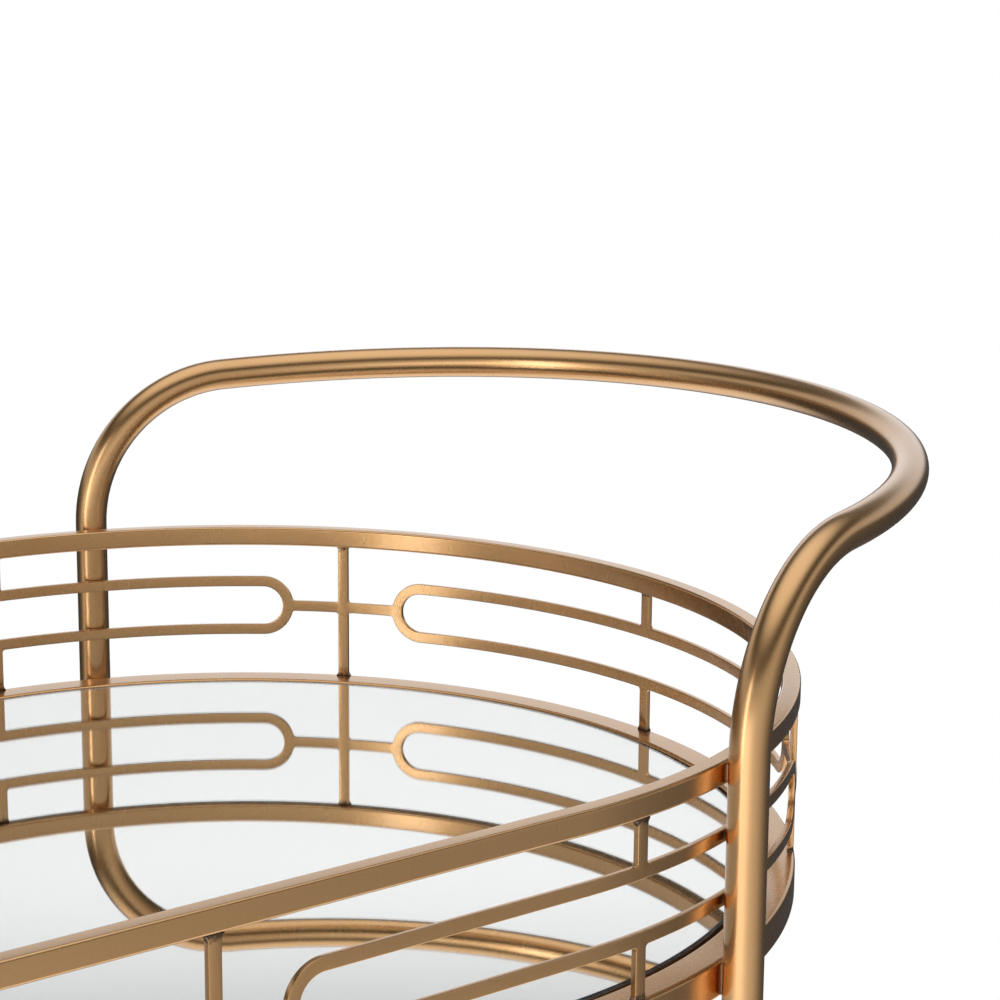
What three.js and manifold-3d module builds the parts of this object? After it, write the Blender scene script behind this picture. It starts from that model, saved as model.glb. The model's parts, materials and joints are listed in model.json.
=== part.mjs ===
// Two-tier oval bar cart on swivel casters. Millimetres, +Z up. The origin is on the floor under the
// middle of the cart, +X runs along the cart's length and +Y across its width.
// Each tier is a ring of square tube that holds a drop-in mirror, with a pierced gallery strip standing on
// it and a flat-bar rim on top. Two end frames of round tube, each a leg, a handle and a leg in one bend,
// are welded to the outside of both tiers, and a braked or plain caster closes each leg's foot.
import * as THREE from "three";
import { mergeVertices } from "three/addons/utils/BufferGeometryUtils.js";
import Module from "manifold-3d";

const wasm = await Module();
wasm.setup();

// ---- Trays -----------------------------------------------------------------------------------------
const TRAY_WIDTH = 406; // over the outer faces of the straight sides
const TRAY_STRAIGHT = 246; // length of each straight side, between the half-round ends
const UPPER_DECK = 701; // top face of the upper ring, above the floor
const LOWER_DECK = 195; // top face of the lower ring
const GALLERY_HEIGHT = 64; // from a ring's top face to its rim's top face
const RIM_WIDTH = 6.35; // flat bar, across
const RIM_HEIGHT = 7.6;
const RING_WIDTH = 11.5; // square tube, across
const RING_HEIGHT = 12;
const RING_WALL = 1.2;
const VENT_RADIUS = 2; // plating vent under each long side of a ring
const END_SEGMENTS = 18; // facets in each half-round end

// ---- Gallery strip ---------------------------------------------------------------------------------
const CLIPS = 6; // long slots around one gallery
const STRIP_THICKNESS = 2.2;
const STRIP_INSET = 0.4; // strip's outer face behind the rim's outer face
const BAR_WIDTH = 4.3; // face width of every bar in the strip
const CLIP_HEIGHT = 25; // over a slot's upper and lower bars
const CLIP_CENTRE = 29.6; // middle of the slots, above the ring
const LINK_REACH = 21.5; // from an upright's middle to the round end of a slot
const CLIP_END_SEGMENTS = 6;
const BAR_SEGMENTS = 4; // facets in each bar from a slot's round end to its tie
const FLAT_GRID = 0.001; // rounding of places in the flat strip

// ---- Mirror and what carries it --------------------------------------------------------------------
const GLASS_THICKNESS = 4;
const GLASS_DROP = 0.6; // glass top below the ring's top face
const GLASS_GAP = 2.3; // open joint between the glass and the ring
const BOARD_THICKNESS = 3;
const BOARD_GAP = 1;
const CROSS_BAR_WIDTH = 20;
const CROSS_BAR_THICKNESS = 3;
const CROSS_BAR_SPACING = 150;
const CROSS_BAR_PLACES = [-1, 0, 1]; // in spacings from the cart's middle

// ---- End frames ------------------------------------------------------------------------------------
const TUBE_DIAMETER = 12.7;
const TUBE_WALL = 1.2;
const TUBE_SIDES = 10;
const LEG_ANGLE = THREE.MathUtils.degToRad(71.15); // leg's place around the tray's end, from the X axis
const WELD_GAP = 0.3; // between a leg and the trays' outer faces
const BEND_RADIUS = 60; // from leg to handle
const BEND_START = 1; // height above the upper rim where a leg begins to bend
const HANDLE_RISE = THREE.MathUtils.degToRad(2.8); // handle's slope where it leaves the bend
const BEND_STEPS = 5;
const HANDLE_STEPS = 12;

// ---- Casters ---------------------------------------------------------------------------------------
const WHEEL_DIAMETER = 50;
const WHEEL_WIDTH = 16;
const TREAD_DEPTH = 6; // rubber over the hub
const TREAD_FIT = 0.3; // between tread and hub
const HUB_BOSS_RADIUS = 6;
const HUB_WEB_THICKNESS = 5.4;
const HUB_FLANGE_THICKNESS = 2.7; // under the tread
const HUB_FLANGE_INSET = 1; // flange's edge inside the tread's edge
const TREAD_SHOULDER = 2; // bevel at each edge of the tread
const AXLE_RADIUS = 3;
const AXLE_HEAD_RADIUS = 5;
const AXLE_HEAD_THICKNESS = 1.2;
const RUNNING_CLEARANCE = 0.06; // radial, between a shaft and its hole
const TRAIL = 18; // axle behind the swivel axis
const CHEEK_THICKNESS = 1.8;
const CHEEK_GAP = 0.8; // between a cheek and the wheel
const AXLE_BOSS_RADIUS = 7;
const CHEEK_FRONT_ANGLE = THREE.MathUtils.degToRad(-20); // where a cheek's front edge meets its boss
const CHEEK_REAR_ANGLE = THREE.MathUtils.degToRad(170); // and its rear edge
const WHEEL_HEADROOM = 6; // wheel top to the fork's plate
const PLATE_THICKNESS = 2;
const PLATE_FRONT = 12; // fork's plate ahead of the swivel axis
const PLATE_REAR = 14; // and behind it
const BEARING_THICKNESS = 2;
const BEARING_RADIUS = 9;
const SWIVEL_CLEARANCE = 0.2; // between the parts that turn under the leg
const STEM_RADIUS = 4;
const STEM_HEAD_RADIUS = 6;
const STEM_HEAD_THICKNESS = 2;
const COLLAR_RADIUS = 6.35;
const COLLAR_THICKNESS = 4;
const STEM_THREAD_LENGTH = 24; // above the collar
const BUSH_FLANGE_THICKNESS = 1.5;
const BUSH_LENGTH = 26; // inside the leg
const BUSH_FIT = 0.1; // between the bush and the leg's bore
const WHEEL_SEGMENTS = 16;
const TURNED_SEGMENTS = 12; // stems, bushes and bearings
const SHAFT_SEGMENTS = 10; // axles, brake pins and their holes
const CURVE_SEGMENTS = 8; // facets in each curve of a fork's cheek
const CUT_THROUGH = 1; // how far a hole's cutter stands out of each face

// ---- Brake -----------------------------------------------------------------------------------------
const BRAKE_PIN_RADIUS = 1.5;
const BRAKE_PIN_HEAD_RADIUS = 2.4;
const BRAKE_PIN_HEAD_THICKNESS = 0.6;
const BRAKE_PIN_OFFSET = 4.5; // pin's middle outside the tread
const BRAKE_PIN_ANGLE = THREE.MathUtils.degToRad(114); // around the wheel, from the X axis
const BRAKE_LUG_RADIUS = 4.4;
const BRAKE_LEVER_GAP = 0.4; // between the lever and a cheek
const BRAKE_SHOE_REACH = 4.6; // from the pin's middle to the shoe's tip
const BRAKE_SHOE_ANGLE = THREE.MathUtils.degToRad(-101);
const BRAKE_CAM = [
  [2.4, 2.95],
  [3.45, -0.7],
  [1.55, -3.1],
]; // front of the cam from the pin's middle, top to bottom
const BRAKE_CAM_BACK = [-3.45, -1.7]; // between the shoe and the pedal
const BRAKE_PEDAL_TOP = 3.45; // pedal's root, above and behind the pin's middle
const BRAKE_PEDAL_LENGTH = 31;
const BRAKE_PEDAL_THICKNESS = 3;
const BRAKE_PEDAL_LIFT = 4; // pedal's far end above its root

// ---- Worked out from the above ---------------------------------------------------------------------
const END_RADIUS = TRAY_WIDTH / 2;
const END_CENTRE = TRAY_STRAIGHT / 2; // X of the half-round ends' centres
const TUBE_RADIUS = TUBE_DIAMETER / 2;
const WHEEL_RADIUS = WHEEL_DIAMETER / 2;
const PLATE_BOTTOM = WHEEL_DIAMETER + WHEEL_HEADROOM;
const PLATE_TOP = PLATE_BOTTOM + PLATE_THICKNESS;
const COLLAR_BOTTOM = PLATE_TOP + BEARING_THICKNESS + SWIVEL_CLEARANCE;
const COLLAR_TOP = COLLAR_BOTTOM + COLLAR_THICKNESS;
const LEG_BOTTOM = COLLAR_TOP + BUSH_FLANGE_THICKNESS;
const CHEEK_INNER = WHEEL_WIDTH / 2 + CHEEK_GAP;
const CHEEK_OUTER = CHEEK_INNER + CHEEK_THICKNESS;
const LEG_X = END_CENTRE + (END_RADIUS + TUBE_RADIUS + WELD_GAP) * Math.cos(LEG_ANGLE);
const LEG_Y = (END_RADIUS + TUBE_RADIUS + WELD_GAP) * Math.sin(LEG_ANGLE);

// ---- Materials -------------------------------------------------------------------------------------
const finish = (color, roughness, metalness) => () =>
  new THREE.MeshStandardMaterial({ color, roughness, metalness });
const champagneMetal = finish("#bd9660", 0.34, 0.9);
const mirrorGlass = finish("#dfe5e4", 0.03, 1);
const board = finish("#6b5238", 0.85, 0);
const plainSteel = finish("#a9a9a6", 0.35, 1);
const darkPlastic = finish("#2a2928", 0.5, 0);
const rubber = finish("#1b1b1c", 0.8, 0);

const cart = new THREE.Group();

function place(parent, name, geometry, material) {
  const mesh = new THREE.Mesh(geometry, material());
  mesh.name = name;
  parent.add(mesh);
}

// ---- Solids ----------------------------------------------------------------------------------------
function solidOf(geometry) {
  const bare = geometry.index ? geometry.clone() : geometry;
  for (const name of ["normal", "uv"]) bare.deleteAttribute(name);
  const merged = mergeVertices(bare, 1e-4);
  return new wasm.Manifold(
    new wasm.Mesh({
      numProp: 3,
      vertProperties: new Float32Array(merged.attributes.position.array),
      triVerts: new Uint32Array(merged.index.array),
    }),
  );
}

function geometryOf(solid) {
  const mesh = solid.getMesh();
  return new THREE.BufferGeometry()
    .setAttribute("position", new THREE.BufferAttribute(mesh.vertProperties, 3))
    .setIndex(new THREE.BufferAttribute(mesh.triVerts, 1));
}

const joined = (geometries) => wasm.Manifold.union(geometries.map(solidOf));

// A plate of the given outline (in X and Y), from z = bottom to z = top.
function plate(outline, bottom, top) {
  const settings = { depth: top - bottom, bevelEnabled: false, curveSegments: CURVE_SEGMENTS };
  return new THREE.ExtrudeGeometry(outline, settings).translate(0, 0, bottom);
}

// A sideways plate: the outline is in X and Z, and the plate lies between y = near and y = far.
function sidePlate(outline, near, far) {
  const flat = plate(outline, -far, -near);
  return flat.rotateX(Math.PI / 2);
}

// A turned piece about the Y axis from its half section: points of [radius, place along the axis].
function turned(section, segments) {
  const points = section.map(([radius, along]) => new THREE.Vector2(radius, along));
  if (THREE.ShapeUtils.area(points) < 0) points.reverse();
  const onAxis = points[0].x === 0 && points.at(-1).x === 0;
  if (!onAxis) points.push(points[0].clone());
  return new THREE.LatheGeometry(points, segments);
}

const turnedUpright = (section, segments) => turned(section, segments).rotateX(Math.PI / 2);

const cylinder = (radius, low, high, segments) => [
  [0, low],
  [radius, low],
  [radius, high],
  [0, high],
];

// Radius of a many-sided hole whose flats clear a round shaft all the way round.
const holeFor = (shaft, clearance, sides) => (shaft + clearance) / Math.cos(Math.PI / sides);

// ---- The oval --------------------------------------------------------------------------------------
// Outline of the oval whose ends have the given radius.
function ovalPoints(radius) {
  const points = [];
  for (const side of [1, -1])
    for (let i = 0; i <= END_SEGMENTS; i++) {
      const angle = (i / END_SEGMENTS - 0.5) * Math.PI;
      const forward = END_CENTRE + radius * Math.cos(angle);
      points.push(new THREE.Vector2(side * forward, side * radius * Math.sin(angle)));
    }
  return points;
}

function ovalRing(outer, inner) {
  const shape = new THREE.Shape(ovalPoints(outer));
  shape.holes.push(new THREE.Path(ovalPoints(inner)));
  return shape;
}

// Place on the rolled strip: `along` is the length from the +X end of the oval, measured on the strip's
// middle, `out` is the distance outside that middle.
const STRIP_RADIUS = END_RADIUS - STRIP_INSET - STRIP_THICKNESS / 2;
const QUARTER_TURN = (STRIP_RADIUS * Math.PI) / 2;
const PERIMETER = 4 * QUARTER_TURN + 2 * TRAY_STRAIGHT;

function onOval(along, out) {
  const half = PERIMETER / 2;
  const turns = Math.floor(along / half + 0.5);
  const local = along - turns * half; // from -half / 2 to half / 2, with 0 at the tip of one end
  const side = turns % 2 === 0 ? 1 : -1;
  const reach = Math.min(Math.abs(local), QUARTER_TURN);
  const angle = (Math.sign(local) * reach) / STRIP_RADIUS;
  const radius = STRIP_RADIUS + out;
  const back = Math.abs(local) - reach; // run along the straight side
  return [
    side * (END_CENTRE + radius * Math.cos(angle) - back),
    side * radius * Math.sin(angle),
  ];
}

// Rolls a flat piece (X along the strip, Y up, Z out of its face) onto the oval. Places in the flat piece
// are taken to the nearest FLAT_GRID, so that faces that meet stay exactly face to face.
function rolled(geometry) {
  const snap = (value) => Math.round(value / FLAT_GRID) * FLAT_GRID;
  const p = geometry.attributes.position;
  for (let i = 0; i < p.count; i++) {
    const [x, y] = onOval(snap(p.getX(i)), snap(p.getZ(i)));
    p.setXYZ(i, x, y, snap(p.getY(i)));
  }
  return geometry;
}

// ---- Gallery ---------------------------------------------------------------------------------------
function flatBar(from, to, bottom, top, segments = 1) {
  const bar = new THREE.BoxGeometry(to - from, top - bottom, STRIP_THICKNESS, segments, 1, 1);
  return bar.translate((from + to) / 2, (bottom + top) / 2, 0);
}

// Half-round end of a slot with its link to the upright at `upright`; side is +1 or -1 along the strip.
function clipEnd(upright, side) {
  const outer = CLIP_HEIGHT / 2;
  const inner = outer - BAR_WIDTH;
  const centre = LINK_REACH + outer;
  const linkAngle = Math.asin(BAR_WIDTH / 2 / outer);
  const arc = (radius, from, to, steps) =>
    Array.from({ length: steps + 1 }, (_, i) => {
      const angle = from + ((to - from) * i) / steps;
      return new THREE.Vector2(centre - radius * Math.cos(angle), CLIP_CENTRE + radius * Math.sin(angle));
    });
  const points = [
    new THREE.Vector2(BAR_WIDTH / 2, CLIP_CENTRE - BAR_WIDTH / 2),
    ...arc(outer, -linkAngle, -Math.PI / 2, CLIP_END_SEGMENTS / 2),
    ...arc(inner, -Math.PI / 2, Math.PI / 2, CLIP_END_SEGMENTS),
    ...arc(outer, Math.PI / 2, linkAngle, CLIP_END_SEGMENTS / 2),
    new THREE.Vector2(BAR_WIDTH / 2, CLIP_CENTRE + BAR_WIDTH / 2),
  ];
  const outline = new THREE.Shape(points.map((p) => new THREE.Vector2(upright + side * p.x, p.y)));
  return plate(outline, -STRIP_THICKNESS / 2, STRIP_THICKNESS / 2);
}

function galleryGeometry() {
  const pitch = PERIMETER / CLIPS;
  const top = GALLERY_HEIGHT - RIM_HEIGHT;
  const clipTop = CLIP_CENTRE + CLIP_HEIGHT / 2;
  const clipBottom = CLIP_CENTRE - CLIP_HEIGHT / 2;
  const half = BAR_WIDTH / 2;
  const flat = [];
  for (let i = 0; i < CLIPS; i++) {
    const tie = i * pitch; // a slot's middle; the first is at the +X tip
    const upright = tie + pitch / 2;
    flat.push(flatBar(upright - half, upright + half, 0, top));
    flat.push(clipEnd(upright, 1), clipEnd(upright, -1));
    flat.push(flatBar(tie - half, tie + half, clipTop - BAR_WIDTH, top));
    flat.push(flatBar(tie - half, tie + half, 0, clipBottom + BAR_WIDTH));
    const barEnd = pitch / 2 - LINK_REACH - CLIP_HEIGHT / 2;
    for (const bottom of [clipTop - BAR_WIDTH, clipBottom]) {
      flat.push(flatBar(tie + half, tie + barEnd, bottom, bottom + BAR_WIDTH, BAR_SEGMENTS));
      flat.push(flatBar(tie - barEnd, tie - half, bottom, bottom + BAR_WIDTH, BAR_SEGMENTS));
    }
  }
  return geometryOf(joined(flat.map(rolled)));
}

// ---- One tier --------------------------------------------------------------------------------------
function shelfRingGeometry(deck) {
  const body = solidOf(plate(ovalRing(END_RADIUS, END_RADIUS - RING_WIDTH), deck - RING_HEIGHT, deck));
  const bore = solidOf(
    plate(
      ovalRing(END_RADIUS - RING_WALL, END_RADIUS - RING_WIDTH + RING_WALL),
      deck - RING_HEIGHT + RING_WALL,
      deck - RING_WALL,
    ),
  );
  const vents = [1, -1].map((side) => {
    const vent = turnedUpright(cylinder(VENT_RADIUS, -RING_WALL, RING_WALL), SHAFT_SEGMENTS);
    return vent.translate(0, side * (END_RADIUS - RING_WIDTH / 2), deck - RING_HEIGHT + RING_WALL / 2);
  });
  return geometryOf(body.subtract(bore).subtract(joined(vents)));
}

// Half the length of a cross bar at x, kept clear of the ring's inner wall at both of its corners. Past the
// straight sides the wall is taken at the middle of its facets, where it comes closest.
function crossBarReach(x) {
  const opening = END_RADIUS - RING_WIDTH;
  const past = Math.abs(x) + CROSS_BAR_WIDTH / 2 - END_CENTRE;
  if (past <= 0) return opening - WELD_GAP;
  return Math.sqrt((opening * Math.cos(Math.PI / END_SEGMENTS / 2)) ** 2 - past ** 2) - WELD_GAP;
}

function addTier(name, deck) {
  const rimTop = deck + GALLERY_HEIGHT;
  const glassTop = deck - GLASS_DROP;
  const boardTop = glassTop - GLASS_THICKNESS;
  const barTop = boardTop - BOARD_THICKNESS;
  const opening = END_RADIUS - RING_WIDTH;
  const rim = plate(ovalRing(END_RADIUS, END_RADIUS - RIM_WIDTH), rimTop - RIM_HEIGHT, rimTop);
  const glass = plate(new THREE.Shape(ovalPoints(opening - GLASS_GAP)), boardTop, glassTop);
  const backing = plate(new THREE.Shape(ovalPoints(opening - BOARD_GAP)), barTop, boardTop);
  place(cart, `${name}_rim`, rim, champagneMetal);
  place(cart, `${name}_gallery`, galleryGeometry().translate(0, 0, deck), champagneMetal);
  place(cart, `${name}_shelf_ring`, shelfRingGeometry(deck), champagneMetal);
  place(cart, `${name}_mirror`, glass, mirrorGlass);
  place(cart, `${name}_backing_board`, backing, board);
  CROSS_BAR_PLACES.forEach((step, i) => {
    const x = step * CROSS_BAR_SPACING;
    const bar = new THREE.BoxGeometry(CROSS_BAR_WIDTH, 2 * crossBarReach(x), CROSS_BAR_THICKNESS);
    bar.translate(x, 0, barTop - CROSS_BAR_THICKNESS / 2);
    place(cart, `${name}_cross_bar_${i + 1}`, bar, champagneMetal);
  });
}

// ---- End frames ------------------------------------------------------------------------------------
// Centre line of an end frame: a leg, a bend in an upright plane, the handle's arc in a rising plane, a bend
// and the other leg. `side` is +1 for the end towards +X. The parameter runs evenly over the tube's facets.
class EndFrameLine extends THREE.Curve {
  constructor(side) {
    super();
    this.side = side;
    this.turn = Math.PI / 2 - HANDLE_RISE;
    const run = BEND_RADIUS * (1 - Math.cos(this.turn)); // how far a bend carries the tube sideways
    const heading = Math.asin(run / LEG_Y); // of the bend's plane, from the X axis
    this.bendBottom = UPPER_DECK + GALLERY_HEIGHT + BEND_START;
    this.across = [Math.cos(heading), Math.sin(heading)]; // the bend's way in X and Y
    const along = Math.cos(HANDLE_RISE) * this.across[1];
    this.arcAngle = Math.acos(along); // from the handle's tip to where a bend meets it
    const bendEndY = LEG_Y - run * this.across[1];
    this.arcRadius = bendEndY / Math.sin(this.arcAngle);
    this.lift = Math.asin(Math.sin(HANDLE_RISE) / Math.sin(this.arcAngle)); // slope of the handle's plane
    const back = this.arcRadius * Math.cos(this.arcAngle);
    this.arcX = LEG_X + run * this.across[0] - back * Math.cos(this.lift);
    this.arcZ = this.bendBottom + BEND_RADIUS * Math.sin(this.turn) - back * Math.sin(this.lift);
    this.steps = 2 * (1 + BEND_STEPS) + HANDLE_STEPS;
  }
  // One half of the line, from the handle's tip (0) to the leg's foot.
  halfPoint(step) {
    const toBend = HANDLE_STEPS / 2;
    if (step <= toBend) {
      const angle = (this.arcAngle * step) / toBend;
      const forward = this.arcRadius * Math.cos(angle);
      return [
        this.arcX + forward * Math.cos(this.lift),
        this.arcRadius * Math.sin(angle),
        this.arcZ + forward * Math.sin(this.lift),
      ];
    }
    if (step <= toBend + BEND_STEPS) {
      const angle = (this.turn * (toBend + BEND_STEPS - step)) / BEND_STEPS;
      const run = BEND_RADIUS * (1 - Math.cos(angle));
      return [
        LEG_X + run * this.across[0],
        LEG_Y - run * this.across[1],
        this.bendBottom + BEND_RADIUS * Math.sin(angle),
      ];
    }
    const down = step - toBend - BEND_STEPS;
    return [LEG_X, LEG_Y, this.bendBottom + (LEG_BOTTOM - this.bendBottom) * down];
  }
  getPoint(t, target = new THREE.Vector3()) {
    const step = (t - 0.5) * this.steps;
    const [x, y, z] = this.halfPoint(Math.abs(step));
    return target.set(this.side * x, Math.sign(step) * y, z);
  }
  getPointAt(u, target) {
    return this.getPoint(u, target);
  }
  getTangentAt(u, target) {
    return this.getTangent(u, target);
  }
}

function endFrameGeometry(side) {
  const circle = (radius) =>
    Array.from({ length: TUBE_SIDES }, (_, i) => {
      const angle = (i / TUBE_SIDES) * 2 * Math.PI;
      return new THREE.Vector2(radius * Math.cos(angle), radius * Math.sin(angle));
    });
  const section = new THREE.Shape(circle(TUBE_RADIUS));
  section.holes.push(new THREE.Path(circle(TUBE_RADIUS - TUBE_WALL)));
  const line = new EndFrameLine(side);
  return new THREE.ExtrudeGeometry(section, { extrudePath: line, steps: line.steps, bevelEnabled: false });
}

// ---- Casters: built about the swivel axis, with the axle a trail's length towards -X ------------------
const AXLE = new THREE.Vector2(-TRAIL, WHEEL_RADIUS);
const BRAKE_PIN = new THREE.Vector2(Math.cos(BRAKE_PIN_ANGLE), Math.sin(BRAKE_PIN_ANGLE))
  .multiplyScalar(WHEEL_RADIUS + BRAKE_PIN_OFFSET)
  .add(AXLE);

// Flanged bush in the leg's foot, bored for the stem.
function bushGeometry() {
  const bore = holeFor(STEM_RADIUS, RUNNING_CLEARANCE, TURNED_SEGMENTS);
  const fit = (TUBE_RADIUS - TUBE_WALL) * Math.cos(Math.PI / TUBE_SIDES) - BUSH_FIT;
  const section = [
    [bore, COLLAR_TOP],
    [TUBE_RADIUS, COLLAR_TOP],
    [TUBE_RADIUS, LEG_BOTTOM],
    [fit, LEG_BOTTOM],
    [fit, LEG_BOTTOM + BUSH_LENGTH],
    [bore, LEG_BOTTOM + BUSH_LENGTH],
  ];
  return turnedUpright(section, TURNED_SEGMENTS);
}

// Stem: riveted head under the fork's plate, swivel shank, collar and threaded end.
function stemGeometry() {
  const headTop = PLATE_BOTTOM - SWIVEL_CLEARANCE;
  const section = [
    [0, headTop - STEM_HEAD_THICKNESS],
    [STEM_HEAD_RADIUS, headTop - STEM_HEAD_THICKNESS],
    [STEM_HEAD_RADIUS, headTop],
    [STEM_RADIUS, headTop],
    [STEM_RADIUS, COLLAR_BOTTOM],
    [COLLAR_RADIUS, COLLAR_BOTTOM],
    [COLLAR_RADIUS, COLLAR_TOP],
    [STEM_RADIUS, COLLAR_TOP],
    [STEM_RADIUS, COLLAR_TOP + STEM_THREAD_LENGTH],
    [0, COLLAR_TOP + STEM_THREAD_LENGTH],
  ];
  return turnedUpright(section, TURNED_SEGMENTS);
}

function bearingGeometry() {
  const bore = holeFor(STEM_RADIUS, SWIVEL_CLEARANCE, TURNED_SEGMENTS);
  const section = [
    [bore, PLATE_TOP],
    [BEARING_RADIUS, PLATE_TOP],
    [BEARING_RADIUS, PLATE_TOP + BEARING_THICKNESS],
    [bore, PLATE_TOP + BEARING_THICKNESS],
  ];
  return turnedUpright(section, TURNED_SEGMENTS);
}

// One cheek's outline in X and Z: from the plate's front edge round the axle's boss to its rear edge.
function cheekOutline(braked) {
  const shape = new THREE.Shape();
  const shoulder = WHEEL_DIAMETER;
  shape.moveTo(PLATE_FRONT, PLATE_TOP);
  shape.lineTo(PLATE_FRONT, shoulder);
  shape.absarc(AXLE.x, AXLE.y, AXLE_BOSS_RADIUS, CHEEK_FRONT_ANGLE, CHEEK_REAR_ANGLE, true);
  if (braked)
    shape.absarc(BRAKE_PIN.x, BRAKE_PIN.y, BRAKE_LUG_RADIUS, CHEEK_REAR_ANGLE, Math.PI / 2, true);
  else shape.lineTo(-PLATE_REAR, shoulder);
  shape.lineTo(-PLATE_REAR, PLATE_TOP);
  return shape;
}

// Cutter for a running hole across the caster: for a shaft of the given radius at `centre` (in X and Z),
// through everything from y = -reach to y = reach.
function crossHole(shaft, reach, centre) {
  const radius = holeFor(shaft, RUNNING_CLEARANCE, SHAFT_SEGMENTS);
  const section = cylinder(radius, -reach - CUT_THROUGH, reach + CUT_THROUGH);
  return turned(section, SHAFT_SEGMENTS).translate(centre.x, 0, centre.y);
}

function forkGeometry(braked) {
  const top = new THREE.BoxGeometry(PLATE_FRONT + PLATE_REAR, 2 * CHEEK_OUTER, PLATE_THICKNESS);
  top.translate((PLATE_FRONT - PLATE_REAR) / 2, 0, (PLATE_BOTTOM + PLATE_TOP) / 2);
  const cheeks = [1, -1].map((side) => {
    const faces = [side * CHEEK_INNER, side * CHEEK_OUTER].sort((a, b) => a - b);
    return sidePlate(cheekOutline(braked), ...faces);
  });
  const swivelRadius = holeFor(STEM_RADIUS, SWIVEL_CLEARANCE, TURNED_SEGMENTS);
  const swivelHole = turnedUpright(
    cylinder(swivelRadius, PLATE_BOTTOM - CUT_THROUGH, PLATE_TOP + CUT_THROUGH),
    TURNED_SEGMENTS,
  );
  const holes = [swivelHole, crossHole(AXLE_RADIUS, CHEEK_OUTER, AXLE)];
  if (braked) holes.push(crossHole(BRAKE_PIN_RADIUS, CHEEK_OUTER, BRAKE_PIN));
  return geometryOf(joined([top, ...cheeks]).subtract(joined(holes)));
}

// Riveted shaft across the fork, with a head outside each cheek.
function crossShaft(radius, headRadius, headThickness) {
  const outside = CHEEK_OUTER + headThickness;
  const section = [
    [0, -outside],
    [headRadius, -outside],
    [headRadius, -CHEEK_OUTER],
    [radius, -CHEEK_OUTER],
    [radius, CHEEK_OUTER],
    [headRadius, CHEEK_OUTER],
    [headRadius, outside],
    [0, outside],
  ];
  return turned(section, SHAFT_SEGMENTS);
}

function hubGeometry() {
  const bore = holeFor(AXLE_RADIUS, RUNNING_CLEARANCE, WHEEL_SEGMENTS);
  const outer = WHEEL_RADIUS - TREAD_DEPTH - TREAD_FIT;
  const edge = WHEEL_WIDTH / 2;
  const flange = edge - HUB_FLANGE_INSET;
  const web = HUB_WEB_THICKNESS / 2;
  const flangeInner = outer - HUB_FLANGE_THICKNESS;
  const section = [
    [bore, -edge],
    [HUB_BOSS_RADIUS, -edge],
    [HUB_BOSS_RADIUS, -web],
    [flangeInner, -web],
    [flangeInner, -flange],
    [outer, -flange],
    [outer, flange],
    [flangeInner, flange],
    [flangeInner, web],
    [HUB_BOSS_RADIUS, web],
    [HUB_BOSS_RADIUS, edge],
    [bore, edge],
  ];
  return turned(section, WHEEL_SEGMENTS).translate(AXLE.x, 0, AXLE.y);
}

function tyreGeometry() {
  const inner = WHEEL_RADIUS - TREAD_DEPTH;
  const edge = WHEEL_WIDTH / 2;
  const section = [
    [inner, -edge],
    [WHEEL_RADIUS - TREAD_SHOULDER, -edge],
    [WHEEL_RADIUS, TREAD_SHOULDER - edge],
    [WHEEL_RADIUS, edge - TREAD_SHOULDER],
    [WHEEL_RADIUS - TREAD_SHOULDER, edge],
    [inner, edge],
  ];
  return turned(section, WHEEL_SEGMENTS).translate(AXLE.x, 0, AXLE.y);
}

// Brake lever: a cam with a shoe over the tread and a pedal behind the wheel, bored for its pin.
function brakeLeverGeometry() {
  const half = CHEEK_INNER - BRAKE_LEVER_GAP;
  const points = [
    ...BRAKE_CAM,
    [BRAKE_SHOE_REACH * Math.cos(BRAKE_SHOE_ANGLE), BRAKE_SHOE_REACH * Math.sin(BRAKE_SHOE_ANGLE)],
    BRAKE_CAM_BACK,
    [-2 * BRAKE_PEDAL_TOP, BRAKE_PEDAL_TOP - BRAKE_PEDAL_THICKNESS],
    [-BRAKE_PEDAL_LENGTH, BRAKE_PEDAL_TOP + BRAKE_PEDAL_LIFT - BRAKE_PEDAL_THICKNESS],
    [-BRAKE_PEDAL_LENGTH, BRAKE_PEDAL_TOP + BRAKE_PEDAL_LIFT],
    [-BRAKE_PEDAL_TOP, BRAKE_PEDAL_TOP],
  ];
  const outline = new THREE.Shape(
    points.map(([x, z]) => new THREE.Vector2(BRAKE_PIN.x + x, BRAKE_PIN.y + z)),
  );
  const lever = solidOf(sidePlate(outline, -half, half));
  return geometryOf(lever.subtract(solidOf(crossHole(BRAKE_PIN_RADIUS, half, BRAKE_PIN))));
}

function addCaster(corner, x, y, braked) {
  const caster = new THREE.Group();
  caster.position.set(x, y, 0);
  cart.add(caster);
  place(caster, `${corner}_leg_bush`, bushGeometry(), plainSteel);
  place(caster, `${corner}_caster_stem`, stemGeometry(), plainSteel);
  place(caster, `${corner}_caster_bearing`, bearingGeometry(), plainSteel);
  place(caster, `${corner}_caster_fork`, forkGeometry(braked), champagneMetal);
  const axle = crossShaft(AXLE_RADIUS, AXLE_HEAD_RADIUS, AXLE_HEAD_THICKNESS);
  place(caster, `${corner}_caster_axle`, axle.translate(AXLE.x, 0, AXLE.y), plainSteel);
  place(caster, `${corner}_wheel_hub`, hubGeometry(), darkPlastic);
  place(caster, `${corner}_tyre`, tyreGeometry(), rubber);
  if (braked) {
    const pin = crossShaft(BRAKE_PIN_RADIUS, BRAKE_PIN_HEAD_RADIUS, BRAKE_PIN_HEAD_THICKNESS);
    place(caster, `${corner}_brake_pin`, pin.translate(BRAKE_PIN.x, 0, BRAKE_PIN.y), plainSteel);
    place(caster, `${corner}_brake_lever`, brakeLeverGeometry(), darkPlastic);
  }
}

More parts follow.
